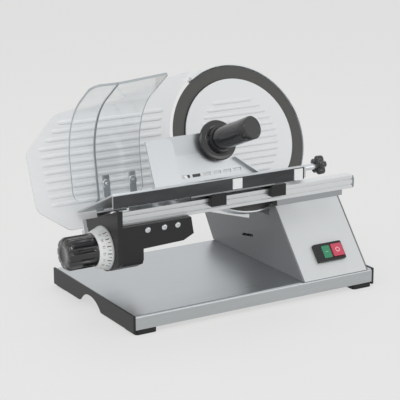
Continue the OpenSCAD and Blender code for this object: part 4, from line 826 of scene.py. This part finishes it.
class SLICER_OT_knobs(bpy.types.Operator):
    """Moulds the fluted thickness knob, the star knob and the cover's lock knob"""

    bl_idname = "slicer.knobs"
    bl_label = "Knobs"

    def execute(self, context):
        black = finishes(look())["black_gloss_plastic"]
        place = knob_place()
        mesh = bmesh.new()
        flute = scallop(20.0, KNOB_RADIUS, FLUTES, 2.7, 9.5)

        def fading(height, r, a):
            fade = 1 if height < FADE_START else max(0.0, 1 - (height - FADE_START) / FADE_LENGTH)
            return r + (flute(height, r, a) - r) * fade
        body = [(KNOB_END + 0.9, 0), (KNOB_END + 0.9, 11.5), (KNOB_END + 0.6, 12.2), (KNOB_END + 0.2, 12.8),
                (KNOB_END, 14), (KNOB_END, 22.2), (KNOB_END + 0.8, 23.9), (KNOB_END + 2.2, 25.3),
                (KNOB_END + 4, 26.4), (KNOB_END + 6, KNOB_RADIUS)]
        body += [(h, KNOB_RADIUS) for h in (-30, -19, -18, -17, -16, -15, -13)]
        body += round_edge(KNOB_START, KNOB_RADIUS, 0.6, 1) + [(KNOB_START, 0)]
        turned(mesh, body, place, steps=320, reach=fading)
        finished("thickness_knob_moulding", mesh, black, "thickness_knob", smooth=40,
                 replaces=["thickness_knob"])
        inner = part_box("star_knob")[0].x
        seat = Matrix.Translation((inner, *middle("star_knob")[1:]))
        star = seat @ turned_to((1, 0, 0)) @ Matrix.Scale(MM, 4)
        lobes = scallop(6.0, STAR_RADIUS, STAR_LOBES, 4.4, 30)
        mesh = bmesh.new()
        shape = [(0, STAR_BORE), (0, 9), (0.4, 12), (1.6, 14.6), (3.4, STAR_RADIUS), (11.6, STAR_RADIUS),
                 (13.2, 14.8), (14.4, 12.6), (14.9, 8.6), (14.9, 5.2), (14.4, 4.8), (14.4, 0)]
        turned(mesh, shape, star, steps=192, reach=lobes)
        finished("star_knob_moulding", mesh, black, "star_knob", smooth=40,
                 replaces=["star_knob"])
        soften("cover_lock_knob", 0.8)
        return {"FINISHED"}


def screw(mesh, place, head, height, shank, length, socket):
    """A button-head screw with a hexagon socket; local Z points out of the head."""
    dome = [(-length, 0), (-length, shank), (0, shank), (0, head), (height * 0.35, head),
            (height * 0.7, head * 0.88), (height, head * 0.62), (height, socket),
            (height - 1.3, socket), (height - 1.3, 0)]

    def hexagon(level, r, a):
        if r != socket or level < 0:
            return r
        return r * math.cos(math.pi / 6) / math.cos((a + math.pi / 6) % (math.pi / 3) - math.pi / 6)
    turned(mesh, dome, place, steps=48, reach=hexagon)


class SLICER_OT_screws(bpy.types.Operator):
    """Fits the button-head screws of the housing's arm"""

    bl_idname = "slicer.screws"
    bl_label = "Screws"

    def execute(self, context):
        steel = finishes(look())["bright_steel"]
        front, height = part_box("housing_screws")[0].y, middle("housing_screws").z
        mesh = bmesh.new()
        for share in SCREW_SHARES:
            x = (TRAY_LEFT + ARM_START + ARM_LENGTH * share) * MM
            seat = Matrix.Translation((x, front + 2 * MM, height))
            place = seat @ turned_to((0, -1, 0)) @ Matrix.Scale(MM, 4)
            screw(mesh, place, head=5.0, height=2.0, shank=2.0, length=9.0, socket=1.9)
        finished("arm_screws", mesh, steel, "housing_screws", smooth=30,
                 replaces=["housing_screws"])
        return {"FINISHED"}


class SLICER_OT_switch(bpy.types.Operator):
    """Marks the two push buttons with a bar and a ring"""

    bl_idname = "slicer.switch"
    bl_label = "Switch marks"

    def execute(self, context):
        for button, node, tint in SWITCH_MARKS:
            ink = finish("pale_print_" + button, linear(tint), 0.0, 0.4, (1, 1, 1), 0.05, 0.05, 0.0)
            points = [Vector(v.co) for v in frame["nodes"][node].data.vertices]
            front = max(p.dot(TOWER_OUT) for p in points)
            face = [p for p in points if p.dot(TOWER_OUT) > front - 0.05 * MM]
            centre = sum(face, Vector()) / len(face)
            centre.x = (min(p.x for p in face) + max(p.x for p in face)) / 2
            place = Matrix.Translation(centre) @ turned_to(TOWER_OUT) @ Matrix.Scale(MM, 4)
            mesh = bmesh.new()
            if node == "stop_button":
                turned(mesh, [(0, 2.7), (0.15, 2.7), (0.15, 4.3), (0, 4.3)], place, steps=48)
            else:
                bmesh.ops.create_cube(mesh, size=1, matrix=place @ Matrix.Diagonal((5.6, 1.2, 0.3, 1)))
            finished(button, mesh, ink, node)
        return {"FINISHED"}


def seen_rays(tree):
    """1 for rays that leave the camera, a mirror or clear sheet, so that all of them see the same studio."""
    path = add(tree, "ShaderNodeLightPath")
    seen = path.outputs["Is Camera Ray"]
    for ray in ("Is Glossy Ray", "Is Transmission Ray"):
        seen = add(tree, "ShaderNodeMath", {0: seen, 1: path.outputs[ray]}, operation="MAXIMUM").outputs[0]
    return seen


def lit_paper(paper, colour):
    """Lifts the floor toward its own pale colour where it is seen, and keeps the object's shadow on it."""
    tree = paper.node_tree
    glow = add(tree, "ShaderNodeEmission", {"Color": colour, "Strength": 1.0})
    share = add(tree, "ShaderNodeMath", {0: seen_rays(tree), 1: FLOOR_LIFT}, operation="MULTIPLY")
    both = add(tree, "ShaderNodeMixShader", {0: share.outputs[0], 1: tree.nodes["Principled BSDF"].outputs[0],
                                             2: glow.outputs[0]})
    tree.links.new(both.outputs[0], tree.nodes["Material Output"].inputs["Surface"])
    return paper


def lamp(name, spot, size, power):
    """A round white softbox that looks at the object."""
    light = bpy.data.lights.new(name, "AREA")
    light.shape = "DISK"
    light.size = size
    light.energy = power
    holder = bpy.data.objects.new(name, light)
    holder.location = spot
    holder.rotation_euler = (Vector(AIM) - Vector(spot)).to_track_quat("-Z", "Y").to_euler()
    bpy.context.scene.collection.objects.link(holder)


class SLICER_OT_stage(bpy.types.Operator):
    """Sets up the pale floor, the soft lamps and the camera"""

    bl_idname = "slicer.stage"
    bl_label = "Studio stage"

    def execute(self, context):
        scene = bpy.context.scene
        scene.view_settings.view_transform = "Standard"
        mesh = bmesh.new()
        bmesh.ops.create_circle(mesh, cap_ends=True, segments=96, radius=FLOOR_RADIUS)
        data = bpy.data.meshes.new("studio_floor")
        mesh.to_mesh(data)
        mesh.free()
        floor = bpy.data.objects.new("studio_floor", data)
        floor.location.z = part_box("rubber_feet")[0].z - 0.0002
        scene.collection.objects.link(floor)
        paper = finish("paper_floor", look().floor, 0.0, 0.9, (40, 40, 40), 0.01, 0.02, 0.0)
        data.materials.append(lit_paper(paper, look().floor))
        world = bpy.data.worlds.new("studio")
        scene.world = world
        world.use_nodes = True
        tree = world.node_tree
        back = tree.nodes["Background"]
        level = add(tree, "ShaderNodeMapRange", {"Value": seen_rays(tree), "To Min": WALL_LIGHT,
                                                 "To Max": WALL_SEEN})
        tree.links.new(level.outputs[0], back.inputs["Strength"])
        back.inputs["Color"].default_value = linear("#f4f5f6")
        for name, spot, size, power in LAMPS:
            lamp(name, spot, size, power)
        ahead = Vector((math.sin(AZIMUTH) * math.cos(ELEVATION), math.cos(AZIMUTH) * math.cos(ELEVATION),
                        -math.sin(ELEVATION)))
        flat = Vector((math.cos(AZIMUTH), -math.sin(AZIMUTH), 0))
        above = flat.cross(ahead)
        right = flat * math.cos(ROLL) + above * math.sin(ROLL)
        up = above * math.cos(ROLL) - flat * math.sin(ROLL)
        lens = bpy.data.cameras.new("camera")
        lens.sensor_width = SENSOR
        lens.lens = SENSOR * FOCAL_PIXELS / PICTURE_WIDTH
        lens.clip_end = 60
        camera = bpy.data.objects.new("camera", lens)
        turn = Matrix((right, up, -ahead)).transposed().to_4x4()
        camera.matrix_world = Matrix.Translation(CAMERA_SPOT) @ turn
        scene.collection.objects.link(camera)
        scene.camera = camera
        return {"FINISHED"}


OPERATORS = (
    SLICER_OT_surfaces, SLICER_OT_ribs, SLICER_OT_guard, SLICER_OT_fence, SLICER_OT_pusher, SLICER_OT_dial,
    SLICER_OT_knobs, SLICER_OT_screws, SLICER_OT_switch, SLICER_OT_stage,
)


class SLICER_PT_panel(bpy.types.Panel):
    """Lists the steps that dress the slicer"""

    bl_idname = "SLICER_PT_panel"
    bl_label = "Slicer"
    bl_space_type = "VIEW_3D"
    bl_region_type = "UI"
    bl_category = "Slicer"

    def draw(self, context):
        for operator in OPERATORS:
            self.layout.operator(operator.bl_idname)
        for group in (look(), sizes()):
            for name in group.bl_rna.properties.keys():
                if name not in ("rna_type", "name"):
                    self.layout.prop(group, name)


CLASSES = (SlicerLook, SlicerSizes, *OPERATORS, SLICER_PT_panel)


def register():
    for one in CLASSES:
        bpy.utils.register_class(one)
    bpy.types.Scene.slicer_look = bpy.props.PointerProperty(type=SlicerLook)
    bpy.types.Scene.slicer_sizes = bpy.props.PointerProperty(type=SlicerSizes)


def unregister():
    del bpy.types.Scene.slicer_look
    del bpy.types.Scene.slicer_sizes
    for one in reversed(CLASSES):
        bpy.utils.unregister_class(one)


def main():
    register()
    for operator in OPERATORS:
        group, name = operator.bl_idname.split(".")
        getattr(getattr(bpy.ops, group), name)()


if __name__ == "__main__":
    main()
